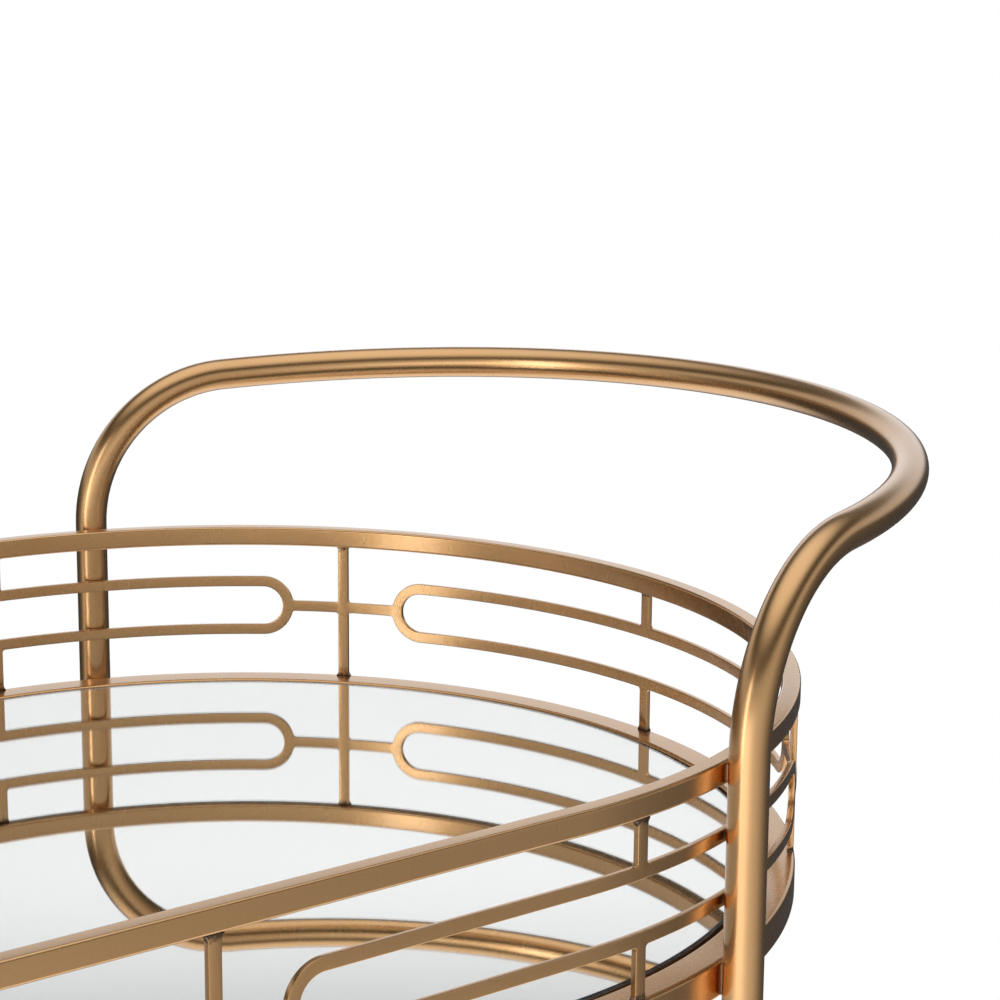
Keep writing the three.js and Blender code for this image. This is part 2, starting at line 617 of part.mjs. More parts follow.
// ---- The cart --------------------------------------------------------------------------------------
addTier("upper", UPPER_DECK);
addTier("lower", LOWER_DECK);
place(cart, "right_end_frame", endFrameGeometry(1), champagneMetal);
place(cart, "left_end_frame", endFrameGeometry(-1), champagneMetal);
addCaster("front_right", LEG_X, -LEG_Y, false);
addCaster("rear_right", LEG_X, LEG_Y, false);
addCaster("front_left", -LEG_X, -LEG_Y, true);
addCaster("rear_left", -LEG_X, LEG_Y, true);

export default cart;
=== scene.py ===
"""Looks of the two-tier oval bar cart: satin champagne metal, drop-in mirrors and swivel casters.

Lengths are metres, +Z is up and the origin is on the floor under the middle of the cart. Every piece is
modelled at its own place, so its object stays at the origin.
"""

import json
import logging
import math
from collections.abc import Callable, Sequence
from dataclasses import dataclass, field
from enum import Enum
from itertools import pairwise

import bmesh
import bpy
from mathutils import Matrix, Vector

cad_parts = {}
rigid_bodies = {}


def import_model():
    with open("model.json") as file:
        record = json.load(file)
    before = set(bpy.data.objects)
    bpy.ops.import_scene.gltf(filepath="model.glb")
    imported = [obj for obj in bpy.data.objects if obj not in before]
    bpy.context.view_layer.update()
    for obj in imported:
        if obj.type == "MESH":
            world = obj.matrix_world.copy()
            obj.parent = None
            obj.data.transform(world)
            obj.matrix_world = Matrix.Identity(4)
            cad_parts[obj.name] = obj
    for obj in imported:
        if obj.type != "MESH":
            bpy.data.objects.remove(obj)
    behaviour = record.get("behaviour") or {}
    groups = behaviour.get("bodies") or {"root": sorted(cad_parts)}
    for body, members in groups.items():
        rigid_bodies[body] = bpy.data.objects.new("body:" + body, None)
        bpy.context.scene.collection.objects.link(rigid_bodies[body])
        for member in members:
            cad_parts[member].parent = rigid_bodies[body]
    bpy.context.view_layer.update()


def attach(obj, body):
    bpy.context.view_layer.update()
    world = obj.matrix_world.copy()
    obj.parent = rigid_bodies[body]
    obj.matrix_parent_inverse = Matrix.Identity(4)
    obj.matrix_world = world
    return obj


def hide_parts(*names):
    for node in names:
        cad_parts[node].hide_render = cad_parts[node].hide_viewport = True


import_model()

LOG = logging.getLogger("bar_cart")
MM = 0.001
UP = Vector((0.0, 0.0, 1.0))
ACROSS = Vector((0.0, 1.0, 0.0))
ORIGIN = Vector((0.0, 0.0, 0.0))
MERGE_DISTANCE = 2e-6
FLAT_ANGLE = math.radians(32)
SHARP_ANGLE = math.radians(40)
FOLD_ANGLE = math.radians(50)
SHORT_SHARE = 0.45
FRAME_BODY = "cart_frame"
CHAMPAGNE = "champagne_metal"
STEEL = "plain_steel"
PLASTIC = "dark_plastic"
TUBE_RADIUS = 0.00635
WELD_GAP = 0.0003

Colour = tuple[float, float, float]
Place = Sequence[float]
Section = Sequence[tuple[float, float]]


class Element(Enum):
    """What a selection in edit mode is made of."""

    CORNER = "VERT"
    EDGE = "EDGE"
    FACE = "FACE"


class Corner(Enum):
    """The cart's four legs, as the signs of their places along X and Y."""

    FRONT_RIGHT = (1, -1)
    REAR_RIGHT = (1, 1)
    FRONT_LEFT = (-1, -1)
    REAR_LEFT = (-1, 1)

    @property
    def label(self) -> str:
        """Name of the corner as its nodes carry it."""
        return self.name.lower()

    @property
    def braked(self) -> bool:
        """Whether the corner's caster has a brake."""
        return self.value[0] < 0


# ---- Shaping ----------------------------------------------------------------------------------------


class Workpiece:
    """A mesh that is shaped in edit mode with Blender's own tools."""

    def __init__(self, name: str) -> None:
        """Opens an empty mesh.

        Args:
            name: Name of the object and of its mesh.
        """
        bpy.ops.object.select_all(action="DESELECT")
        bpy.ops.mesh.primitive_plane_add(size=MM)
        self.obj = bpy.context.object
        self.obj.name = self.obj.data.name = name
        bpy.ops.object.mode_set(mode="EDIT")
        bpy.ops.mesh.select_mode(type=Element.CORNER.value)
        bpy.ops.mesh.select_all(action="SELECT")
        bpy.ops.mesh.delete(type="VERT")

    def select(self, kind: Element, test: Callable[..., bool]) -> int:
        """Selects the elements that pass a test, and nothing else.

        Args:
            kind: Corners, edges or faces.
            test: Takes one bmesh element and says whether it is chosen.

        Returns:
            How many were chosen.
        """
        bpy.ops.mesh.select_mode(type=kind.value)
        bpy.ops.mesh.select_all(action="DESELECT")
        mesh = bmesh.from_edit_mesh(self.obj.data)
        mesh.normal_update()
        elements = {Element.CORNER: mesh.verts, Element.EDGE: mesh.edges, Element.FACE: mesh.faces}[kind]
        chosen = [element for element in elements if test(element)]
        for element in chosen:
            element.select_set(True)
        mesh.select_flush_mode()
        bmesh.update_edit_mesh(self.obj.data)
        return len(chosen)

    def chain(self, points: Sequence[Place], closed: bool = False) -> None:
        """Extrudes one corner from point to point and leaves the chain selected.

        Args:
            points: The chain's places.
            closed: Whether the last point is joined to the first.
        """
        bpy.ops.mesh.select_mode(type=Element.CORNER.value)
        bpy.ops.mesh.select_all(action="DESELECT")
        bpy.ops.mesh.primitive_plane_add(size=MM, location=points[0])
        bpy.ops.mesh.merge(type="CENTER")
        route = [*points, points[0]] if closed else points
        for here, there in pairwise(route):
            step = Vector(there) - Vector(here)
            bpy.ops.mesh.extrude_region_move(TRANSFORM_OT_translate={"value": step})
        bpy.ops.mesh.select_linked()
        bpy.ops.mesh.remove_doubles(threshold=MERGE_DISTANCE)

    def face(self, points: Sequence[Place]) -> None:
        """Draws a flat face through the points and leaves it selected."""
        self.chain(points, closed=True)
        bpy.ops.mesh.edge_face_add()

    def circle(self, centre: Place, radius: float, sides: int, turned: Place = (0, 0, 0)) -> None:
        """Adds a ring of edges, selected.

        Args:
            centre: Middle of the ring.
            radius: Radius of its corners.
            sides: How many edges it has.
            turned: Turn from flat on the floor, as Euler angles.
        """
        bpy.ops.mesh.select_mode(type=Element.CORNER.value)
        bpy.ops.mesh.select_all(action="DESELECT")
        bpy.ops.mesh.primitive_circle_add(vertices=sides, radius=radius, location=centre, rotation=turned)

    def extrude(self, step: Place) -> None:
        """Extrudes what is selected by one straight step."""
        bpy.ops.mesh.extrude_region_move(TRANSFORM_OT_translate={"value": step})

    def spin(self, centre: Place, axis: Place, angle: float, steps: int) -> None:
        """Sweeps what is selected round an axis. With no window the tool turns the other way, so the
        angle is given to it with its sign changed.

        Args:
            centre: A point on the axis.
            axis: Direction of the axis.
            angle: Right-handed angle about it.
            steps: How many steps the sweep takes.
        """
        bpy.ops.mesh.spin(steps=steps, angle=-angle, center=centre, axis=axis)

    def round_corners(self, places: Sequence[Place], reach: float, segments: int) -> None:
        """Rounds the flat outline's corners at the given places.

        Args:
            places: The corners.
            reach: How far along each edge the rounding starts.
            segments: Facets of each rounding.
        """
        wanted = [Vector(place) for place in places]
        near = 10 * MERGE_DISTANCE
        self.select(Element.CORNER, lambda v: any((v.co - p).length < near for p in wanted))
        bpy.ops.mesh.bevel(offset=reach, segments=segments, affect="VERTICES")

    def bevel_sharp(self, width: float, segments: int) -> None:
        """Bevels every sharp edge.

        Args:
            width: Width of the bevel.
            segments: Facets across it.
        """

        def sharp(edge: bmesh.types.BMEdge) -> bool:
            """Says whether an edge is a sharp one."""
            return len(edge.link_faces) == 2 and edge.calc_face_angle(0.0) > SHARP_ANGLE

        if self.select(Element.EDGE, sharp):
            bpy.ops.mesh.bevel(offset=width, segments=segments, affect="EDGES", miter_outer="SHARP")

    def cut_across(self, x: float) -> None:
        """Cuts the whole mesh along the upright plane at an X."""
        bpy.ops.mesh.select_all(action="SELECT")
        bpy.ops.mesh.bisect(plane_co=(x, 0, 0), plane_no=(1, 0, 0))

    def prism(self, outline: Sequence[Place], step: Place) -> None:
        """Extrudes a flat outline into a closed block.

        Args:
            outline: The outline's corners.
            step: The extrusion.
        """
        self.face(outline)
        self.extrude(step)
        self.clean()

    def clean(self) -> None:
        """Merges doubles and turns every face outwards."""
        bpy.ops.mesh.select_mode(type=Element.CORNER.value)
        bpy.ops.mesh.select_all(action="SELECT")
        bpy.ops.mesh.remove_doubles(threshold=MERGE_DISTANCE)
        bpy.ops.mesh.normals_make_consistent(inside=False)

    def finish(self, smooth: float = FLAT_ANGLE, weighted: bool = True) -> bpy.types.Object:
        """Closes the mesh and shades it.

        Args:
            smooth: Angle up to which neighbouring faces shade as one.
            weighted: Whether large faces keep their own shading up to their bevels.

        Returns:
            The finished object.
        """
        self.clean()
        bpy.ops.object.mode_set(mode="OBJECT")
        bpy.ops.object.shade_smooth_by_angle(angle=smooth)
        if weighted:
            apply_modifier(self.obj, "WEIGHTED_NORMAL", keep_sharp=True)
        return self.obj


def add_turned(
    work: Workpiece, section: Section, centre: Place, axis: Vector = UP, steps: int = 48
) -> None:
    """Spins a half section into a round shell.

    Args:
        work: The workpiece that gets the shell.
        section: Points of radius and place along the axis.
        centre: The axis's zero point.
        axis: UP or the Y axis.
        steps: Facets round the shell.
    """
    along = Vector(axis)
    middle = Vector(centre)
    points = [middle + Vector((radius, 0.0, 0.0)) + along * place for radius, place in section]
    ringed = section[0][0] > 0
    work.chain(points, closed=ringed)
    work.spin(middle, along, 2 * math.pi, steps)
    bpy.ops.mesh.select_linked()
    bpy.ops.mesh.remove_doubles(threshold=MERGE_DISTANCE)


def softened(section: Section, radius: float, steps: int = 3) -> Section:
    """Rounds a half section's corners.

    Args:
        section: Points of radius and place along the axis, in order.
        radius: Reach of each rounding, less where an edge is short.
        steps: Facets of each rounding.

    Returns:
        The rounded section. Its first and last points stay as they are.
    """
    points = [Vector(point) for point in section]
    closed = section[0][0] > 0
    result: list[Vector] = []
    count = len(points)
    for i, here in enumerate(points):
        if not closed and i in (0, count - 1):
            result.append(here)
            continue
        before, after = points[i - 1], points[(i + 1) % count]
        reach = min(radius, (before - here).length * SHORT_SHARE, (after - here).length * SHORT_SHARE)
        start = here + (before - here).normalized() * reach
        end = here + (after - here).normalized() * reach
        for step in range(steps + 1):
            t = step / steps
            result.append(start * (1 - t) ** 2 + here * (2 * t * (1 - t)) + end * t**2)
    return [(point.x, point.y) for point in result]


def rectangle(centre: Place, half_x: float, half_y: float) -> list[Place]:
    """Corners of a level rectangle.

    Args:
        centre: Its middle.
        half_x: Half its size along X.
        half_y: Half its size along Y.

    Returns:
        The corners, anticlockwise.
    """
    x, y, z = centre
    return [(x + sx * half_x, y + sy * half_y, z) for sx, sy in ((-1, -1), (1, -1), (1, 1), (-1, 1))]


def choose(obj: bpy.types.Object) -> None:
    """Makes an object the active one and the only one selected."""
    bpy.ops.object.select_all(action="DESELECT")
    obj.select_set(True)
    bpy.context.view_layer.objects.active = obj


def shift(obj: bpy.types.Object, move: Place, mirrored: bool = False) -> None:
    """Moves a finished piece's mesh, so that its object stays at the origin.

    Args:
        obj: The piece.
        move: How far it is moved.
        mirrored: Whether it is first turned over left to right about the cart's middle.
    """
    choose(obj)
    bpy.ops.object.mode_set(mode="EDIT")
    bpy.ops.mesh.select_all(action="SELECT")
    if mirrored:
        bpy.ops.transform.resize(value=(-1, 1, 1), center_override=ORIGIN)
        bpy.ops.mesh.flip_normals()
    bpy.ops.transform.translate(value=move)
    bpy.ops.object.mode_set(mode="OBJECT")


def both_ways(half: Section) -> Section:
    """A half section and its mirror image along the axis, for a piece with two like ends."""
    return [*half, *((radius, -place) for radius, place in reversed(half))]


def copied(source: bpy.types.Object, name: str, move: Place, mirrored: bool = False) -> bpy.types.Object:
    """Copies a finished piece, with a mesh of its own.

    Args:
        source: The piece.
        name: Name of the copy.
        move: How far the copy is moved.
        mirrored: Whether it is turned over left to right about the cart's middle.

    Returns:
        The copy.
    """
    choose(source)
    bpy.ops.object.duplicate(linked=False)
    copy = bpy.context.object
    copy.name = copy.data.name = name
    shift(copy, move, mirrored)
    return copy


def apply_modifier(obj: bpy.types.Object, kind: str, **settings: object) -> None:
    """Adds a modifier to an object and applies it.

    Args:
        obj: The object.
        kind: The modifier's type.
        **settings: Its settings.
    """
    choose(obj)
    modifier = obj.modifiers.new(kind.lower(), kind)
    for key, value in settings.items():
        setattr(modifier, key, value)
    bpy.ops.object.modifier_apply(modifier=modifier.name)


def ease_folds(obj: bpy.types.Object, width: float) -> None:
    """Bevels a piece's sharp folds and shades it again.

    Args:
        obj: The piece.
        width: Width of the bevel.
    """
    apply_modifier(obj, "BEVEL", width=width, segments=2, limit_method="ANGLE", angle_limit=FOLD_ANGLE)
    bpy.ops.object.shade_smooth_by_angle(angle=FLAT_ANGLE)


@dataclass(frozen=True)
class Part:
    """A finished piece, with what it is handed over with."""

    obj: bpy.types.Object
    slot: str
    material: bpy.types.Material
    node: str = ""
    body: str = ""


def hand_over(
    obj: bpy.types.Object, body: str, slot: str, material: bpy.types.Material, *nodes: str
) -> None:
    """Dresses a finished piece, hangs it on its body and hides the CAD nodes that it stands for.

    Args:
        obj: The piece.
        body: The body that it rides on.
        slot: The record's slot for its finish; not used.
        material: Its material.
        *nodes: The CAD nodes that it stands for.
    """
    obj.data.materials.clear()
    obj.data.materials.append(material)
    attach(obj, body)
    if nodes:
        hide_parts(*nodes)
    LOG.info("%s: %d faces on %s", obj.name, len(obj.data.polygons), body)


# ---- Finishes ---------------------------------------------------------------------------------------


class Graph:
    """Adds and joins nodes in one node tree."""

    def __init__(self, tree: bpy.types.NodeTree) -> None:
        """Keeps the tree to work on."""
        self.tree = tree

    def add(self, kind: str, **settings: object) -> bpy.types.Node:
        """Adds a node.

        Args:
            kind: The node's type without its ShaderNode prefix.
            **settings: Its properties.

        Returns:
            The node.
        """
        node = self.tree.nodes.new("ShaderNode" + kind)
        for key, value in settings.items():
            setattr(node, key, value)
        return node

    def join(self, source: bpy.types.NodeSocket, target: bpy.types.NodeSocket) -> None:
        """Links one socket to another."""
        self.tree.links.new(source, target)

    def put(self, value: object, target: bpy.types.NodeSocket) -> None:
        """Feeds a socket from another socket, or sets it to a number or a colour."""
        if isinstance(value, bpy.types.NodeSocket):
            self.join(value, target)
        else:
            target.default_value = (*value, 1.0) if target.type == "RGBA" else value

    def feed(self, node: bpy.types.Node, values: dict[str, object]) -> None:
        """Puts a value or a socket into each of the node's named inputs."""
        for label, value in values.items():
            self.put(value, node.inputs[label])

    def place(self) -> bpy.types.NodeSocket:
        """Place on the piece, in its object's own space."""
        return self.add("TexCoord").outputs["Object"]

    def geometry(self, label: str) -> bpy.types.NodeSocket:
        """One output of the Geometry node."""
        return self.add("NewGeometry").outputs[label]

    def upward(self, vector: bpy.types.NodeSocket) -> bpy.types.NodeSocket:
        """The Z part of a vector."""
        node = self.add("SeparateXYZ")
        self.join(vector, node.inputs[0])
        return node.outputs[2]

    def math(self, operation: str, first: object, second: object = 0.0) -> bpy.types.NodeSocket:
        """Adds a Math node.

        Args:
            operation: Its operation.
            first: Its first value or socket.
            second: Its second value or socket.

        Returns:
            Its output.
        """
        node = self.add("Math", operation=operation)
        self.put(first, node.inputs[0])
        self.put(second, node.inputs[1])
        return node.outputs[0]

    def ramp(
        self, value: object, low: float, high: float, out_low: float = 0.0, out_high: float = 1.0
    ) -> bpy.types.NodeSocket:
        """Adds a clamped smooth Map Range node.

        Args:
            value: What is mapped.
            low: Value that gives out_low.
            high: Value that gives out_high.
            out_low: Output at the low end.
            out_high: Output at the high end.

        Returns:
            Its output.
        """
        node = self.add("MapRange", interpolation_type="SMOOTHSTEP")
        for socket, number in zip(node.inputs, (value, low, high, out_low, out_high), strict=False):
            self.put(number, socket)
        return node.outputs[0]

    def noise(
        self, vector: bpy.types.NodeSocket, scale: object, detail: float = 3.0
    ) -> bpy.types.NodeSocket:
        """Adds a noise texture.

        Args:
            vector: Where it is read.
            scale: Its scale, in cycles per metre.
            detail: Its octaves.

        Returns:
            Its value.
        """
        node = self.add("TexNoise")
        self.feed(node, {"Vector": vector, "Scale": scale, "Detail": detail})
        return node.outputs[0]

    def tint(self, mask: object, base: object, other: object) -> bpy.types.NodeSocket:
        """Mixes two colours.

        Args:
            mask: Share of the second colour.
            base: First colour or socket.
            other: Second colour or socket.

        Returns:
            The mixed colour.
        """
        node = self.add("Mix", data_type="RGBA")
        for index, value in ((0, mask), (6, base), (7, other)):
            self.put(value, node.inputs[index])
        return node.outputs[2]


class SharedEffects:
    """The node groups that several finishes use. Each one is made when it is first asked for."""

    bent_edge = (0.52, 0.62)
    edge_patches = (0.35, 0.65)
    facing_up = (0.5, 0.95)
    dust_patches = (0.4, 0.75)

    @staticmethod
    def make(
        name: str, inputs: dict[str, float], outputs: Sequence[str]
    ) -> tuple[bpy.types.NodeTree, Graph, bpy.types.Node, bpy.types.Node]:
        """Starts an empty group.

        Args:
            name: The group's name.
            inputs: Its number inputs, with their usual values.
            outputs: Its number outputs.

        Returns:
            The group, its graph, its input node and its output node.
        """
        tree = bpy.data.node_groups.new(name, "ShaderNodeTree")
        for label, value in inputs.items():
            socket = tree.interface.new_socket(label, in_out="INPUT", socket_type="NodeSocketFloat")
            socket.default_value = value
        for label in outputs:
            tree.interface.new_socket(label, in_out="OUTPUT", socket_type="NodeSocketFloat")
        return tree, Graph(tree), tree.nodes.new("NodeGroupInput"), tree.nodes.new("NodeGroupOutput")

    @classmethod
    def edge_wear(cls) -> bpy.types.NodeTree:
        """Mask of rubbed outer edges, broken up by noise."""
        if found := bpy.data.node_groups.get("edge_wear"):
            return found
        tree, graph, given, result = cls.make("edge_wear", {"Amount": 0.5, "Breakup": 220.0}, ["Mask"])
        bent = graph.ramp(graph.geometry("Pointiness"), *cls.bent_edge)
        patchy = graph.ramp(graph.noise(graph.place(), given.outputs["Breakup"]), *cls.edge_patches)
        mask = graph.math("MULTIPLY", graph.math("MULTIPLY", bent, patchy), given.outputs["Amount"])
        graph.join(mask, result.inputs["Mask"])
        return tree

    @classmethod
    def fine_grain(cls) -> bpy.types.NodeTree:
        """Fine satin grain with a little drawing along Z, and a slow cloudiness under it."""
        if found := bpy.data.node_groups.get("fine_grain"):
            return found
        inputs = {"Scale": 650.0, "Drawing": 0.3, "Cloud": 18.0}
        tree, graph, given, result = cls.make("fine_grain", inputs, ["Grain", "Cloud"])
        place = graph.place()
        stretch = graph.add("CombineXYZ")
        graph.feed(stretch, {"X": 1.0, "Y": 1.0, "Z": given.outputs["Drawing"]})
        drawn = graph.add("VectorMath", operation="MULTIPLY")
        graph.join(place, drawn.inputs[0])
        graph.join(stretch.outputs[0], drawn.inputs[1])
        graph.join(graph.noise(drawn.outputs[0], given.outputs["Scale"], 1.0), result.inputs["Grain"])
        graph.join(graph.noise(place, given.outputs["Cloud"], 3.0), result.inputs["Cloud"])
        return tree

    @classmethod
    def settled_dust(cls) -> bpy.types.NodeTree:
        """Mask of dust on faces that look up."""
        if found := bpy.data.node_groups.get("settled_dust"):
            return found
        tree, graph, given, result = cls.make("settled_dust", {"Amount": 0.1, "Patch": 60.0}, ["Mask"])
        upward = graph.ramp(graph.upward(graph.geometry("Normal")), *cls.facing_up)
        patchy = graph.ramp(graph.noise(graph.place(), given.outputs["Patch"], 6.0), *cls.dust_patches)
        mask = graph.math("MULTIPLY", graph.math("MULTIPLY", upward, patchy), given.outputs["Amount"])
        graph.join(mask, result.inputs["Mask"])
        return tree


@dataclass(frozen=True)
class Finish:
    """What every finish has: a name, one shader and the shared effects placed on it."""

    name: str

    def start(self) -> tuple[bpy.types.Material, Graph, bpy.types.Node]:
        """Makes an empty material.

        Returns:
            The material, its graph and its shader node.
        """
        material = bpy.data.materials.new(self.name)
        material.use_nodes = True
        graph = Graph(material.node_tree)
        return material, graph, material.node_tree.nodes["Principled BSDF"]

    @staticmethod
    def effect(graph: Graph, group: bpy.types.NodeTree, **values: float) -> bpy.types.Node:
        """Places a shared effect.

        Args:
            graph: The material's graph.
            group: The effect's node group.
            **values: Its inputs for this finish.

        Returns:
            The group node.
        """
        node = graph.add("Group")
        node.node_tree = group
        graph.feed(node, values)
        return node

    @staticmethod
    def bump(graph: Graph, shader: bpy.types.Node, height: bpy.types.NodeSocket, depth: float) -> None:
        """Gives the shader a bump.

        Args:
            graph: The material's graph.
            shader: The shader node.
            height: Height that varies from 0 to 1.
            depth: Depth in metres.
        """
        node = graph.add("Bump")
        graph.feed(node, {"Strength": 1.0, "Distance": depth, "Height": height})
        graph.join(node.outputs[0], shader.inputs["Normal"])


@dataclass(frozen=True)
class PlatedMetal(Finish):
    """Satin plating, with a darker tint about each weld height that is partly burnt weld colour and partly
    painted shade where the piece meets the parts welded to it.
    """

    colour: Colour
    cloud_colour: Colour
    worn_colour: Colour
    # Darkest tint at the welds: burnt colour, and painted shade where the parts meet.
    weld_colour: Colour = (0.07, 0.035, 0.016)
    roughness: float = 0.27
    edge_tint: Colour = (0.86, 0.86, 0.87)
    lacquer: float = 1.0
    lacquer_roughness: float = 0.14
    grain_roughness: float = 0.02
    grain_depth: float = 0.0000005
    cloud_limits: tuple[float, float] = (0.3, 0.7)
    wear: float = 0.2
    dust: float = 0.05
    dust_colour: Colour = (0.62, 0.6, 0.56)
    dust_roughness: float = 0.4
    weld_heights: tuple[float, ...] = ()
    weld_reach: float = 0.0026
    weld_breakup: float = 900.0
    weld_core: float = 0.2
    weld_strength: float = 0.9

    def build(self) -> bpy.types.Material:
        """Makes the material."""
        material, graph, shader = self.start()
        grain = self.effect(graph, SharedEffects.fine_grain())
        wear = self.effect(graph, SharedEffects.edge_wear(), Amount=self.wear)
        dust = self.effect(graph, SharedEffects.settled_dust(), Amount=self.dust)
        cloud = graph.ramp(grain.outputs["Cloud"], *self.cloud_limits)
        colour = graph.tint(cloud, self.colour, self.cloud_colour)
        colour = graph.tint(wear.outputs["Mask"], colour, self.worn_colour)
        # Darkens the bands about the weld heights: burnt weld colour and painted shade at the junctions.
        if self.weld_heights:
            colour = graph.tint(self.weld_mask(graph), colour, self.weld_colour)
        spread = graph.math("MULTIPLY", grain.outputs["Grain"], self.grain_roughness)
        rough = graph.math("ADD", spread, self.roughness - self.grain_roughness / 2)
        dulled = graph.math("MULTIPLY", dust.outputs["Mask"], self.dust_roughness)
        finish = {
            "Base Color": graph.tint(dust.outputs["Mask"], colour, self.dust_colour),
            "Metallic": 1.0,
            "Specular Tint": self.edge_tint,
            "Coat Weight": self.lacquer,
            "Coat Roughness": self.lacquer_roughness,
            "Roughness": graph.math("ADD", rough, dulled),
        }
        graph.feed(shader, finish)
        self.bump(graph, shader, grain.outputs["Grain"], self.grain_depth)
        return material

    def weld_mask(self, graph: Graph) -> bpy.types.NodeSocket:
        """Mask of the darker tint about each weld height: burnt weld colour and painted shade where the
        parts meet.
        """
        place = graph.place()
        level = graph.upward(place)
        uneven = graph.math("SUBTRACT", graph.noise(place, self.weld_breakup), 0.5)
        rough_edge = graph.math("MULTIPLY", uneven, 2 * self.weld_reach)
        nearest: bpy.types.NodeSocket | None = None
        for height in self.weld_heights:
            away = graph.math("ABSOLUTE", graph.math("SUBTRACT", level, height))
            nearest = away if nearest is None else graph.math("MINIMUM", nearest, away)
        reach = graph.math("ADD", nearest, rough_edge)
        return graph.ramp(reach, self.weld_reach * self.weld_core, self.weld_reach, self.weld_strength, 0.0)


@dataclass(frozen=True)
class ClearGlass(Finish):
    """Float glass with a faint green cast and a matt ground edge."""

    colour: Colour = (0.985, 0.995, 0.99)
    ior: float = 1.5
    smear: float = 0.018
    smear_limits: tuple[float, float] = (0.45, 0.75)
    ground_roughness: float = 0.6
    ground_limits: tuple[float, float] = (0.3, 0.95)

    def build(self) -> bpy.types.Material:
        """Makes the material."""
        material, graph, shader = self.start()
        grain = self.effect(graph, SharedEffects.fine_grain(), Scale=9.0, Drawing=1.0, Cloud=5.0)
        graph.feed(shader, {"Base Color": self.colour, "Transmission Weight": 1.0, "IOR": self.ior})
        smears = graph.ramp(grain.outputs["Cloud"], *self.smear_limits, 0.0, self.smear)
        level = graph.math("ABSOLUTE", graph.upward(graph.geometry("Normal")))
        ground = graph.ramp(level, *self.ground_limits, self.ground_roughness, 0.0)
        graph.join(graph.math("MAXIMUM", smears, ground), shader.inputs["Roughness"])
        return material


@dataclass(frozen=True)
class SilverBacking(Finish):
    """The silvering under a mirror's glass."""

    colour: Colour = (0.972, 0.972, 0.97)
    dimmed: float = 0.985
    roughness: float = 0.012

    def build(self) -> bpy.types.Material:
        """Makes the material."""
        material, graph, shader = self.start()
        grain = self.effect(graph, SharedEffects.fine_grain(), Scale=400.0, Drawing=1.0, Cloud=7.0)
        tone = graph.ramp(grain.outputs["Cloud"], 0.3, 0.7)
        colour = graph.tint(tone, self.colour, tuple(self.dimmed * part for part in self.colour))
        graph.feed(shader, {"Base Color": colour, "Metallic": 1.0, "Roughness": self.roughness})
        return material


@dataclass(frozen=True)
class FibreBoard(Finish):
    """Raw pressed board: mottled brown with short darker fibres."""

    colour: Colour = (0.21, 0.135, 0.078)
    fibre_colour: Colour = (0.15, 0.093, 0.052)
    mottle_limits: tuple[float, float] = (0.35, 0.65)
    fibre_limits: tuple[float, float] = (0.52, 0.62)
    roughness: tuple[float, float] = (0.72, 0.95)
    fibre_depth: float = 0.00008

    def build(self) -> bpy.types.Material:
        """Makes the material."""
        material, graph, shader = self.start()
        grain = self.effect(graph, SharedEffects.fine_grain(), Scale=1100.0, Drawing=1.0, Cloud=260.0)
        patches = graph.ramp(grain.outputs["Cloud"], *self.mottle_limits)
        mottle = graph.tint(patches, self.colour, self.fibre_colour)
        fibres = graph.ramp(grain.outputs["Grain"], *self.fibre_limits)
        rough = graph.ramp(grain.outputs["Grain"], 0.3, 0.7, *self.roughness)
        graph.feed(shader, {"Base Color": graph.tint(fibres, mottle, self.fibre_colour), "Roughness": rough})
        self.bump(graph, shader, grain.outputs["Grain"], self.fibre_depth)
        return material


@dataclass(frozen=True)
class Moulded(Finish):
    """Moulded plastic or rubber: fine texture, rubbed and dusty where it wears."""

    colour: Colour
    rubbed_colour: Colour
    roughness: float
    texture_depth: float
    texture_scale: float = 1600.0
    texture_roughness: float = 0.08
    scuff_limits: tuple[float, float] = (0.4, 0.7)
    scuffing: float = 0.35
    dust: float = 0.25
    dust_colour: Colour = (0.3, 0.29, 0.27)
    wear: float = 0.5

    def build(self) -> bpy.types.Material:
        """Makes the material."""
        material, graph, shader = self.start()
        grain = self.effect(
            graph, SharedEffects.fine_grain(), Scale=self.texture_scale, Drawing=1.0, Cloud=90.0
        )
        wear = self.effect(graph, SharedEffects.edge_wear(), Amount=self.wear, Breakup=500.0)
        dust = self.effect(graph, SharedEffects.settled_dust(), Amount=self.dust, Patch=160.0)
        scuffs = graph.ramp(grain.outputs["Cloud"], *self.scuff_limits)
        scuffed = graph.math("MULTIPLY", scuffs, self.scuffing)
        colour = graph.tint(scuffed, self.colour, self.rubbed_colour)
        colour = graph.tint(wear.outputs["Mask"], colour, self.rubbed_colour)
        colour = graph.tint(dust.outputs["Mask"], colour, self.dust_colour)
        low, high = self.roughness - self.texture_roughness, self.roughness + self.texture_roughness
        rough = graph.ramp(grain.outputs["Grain"], 0.3, 0.7, low, high)
        graph.feed(shader, {"Base Color": colour, "Roughness": rough})
        self.bump(graph, shader, grain.outputs["Grain"], self.texture_depth)
        return material


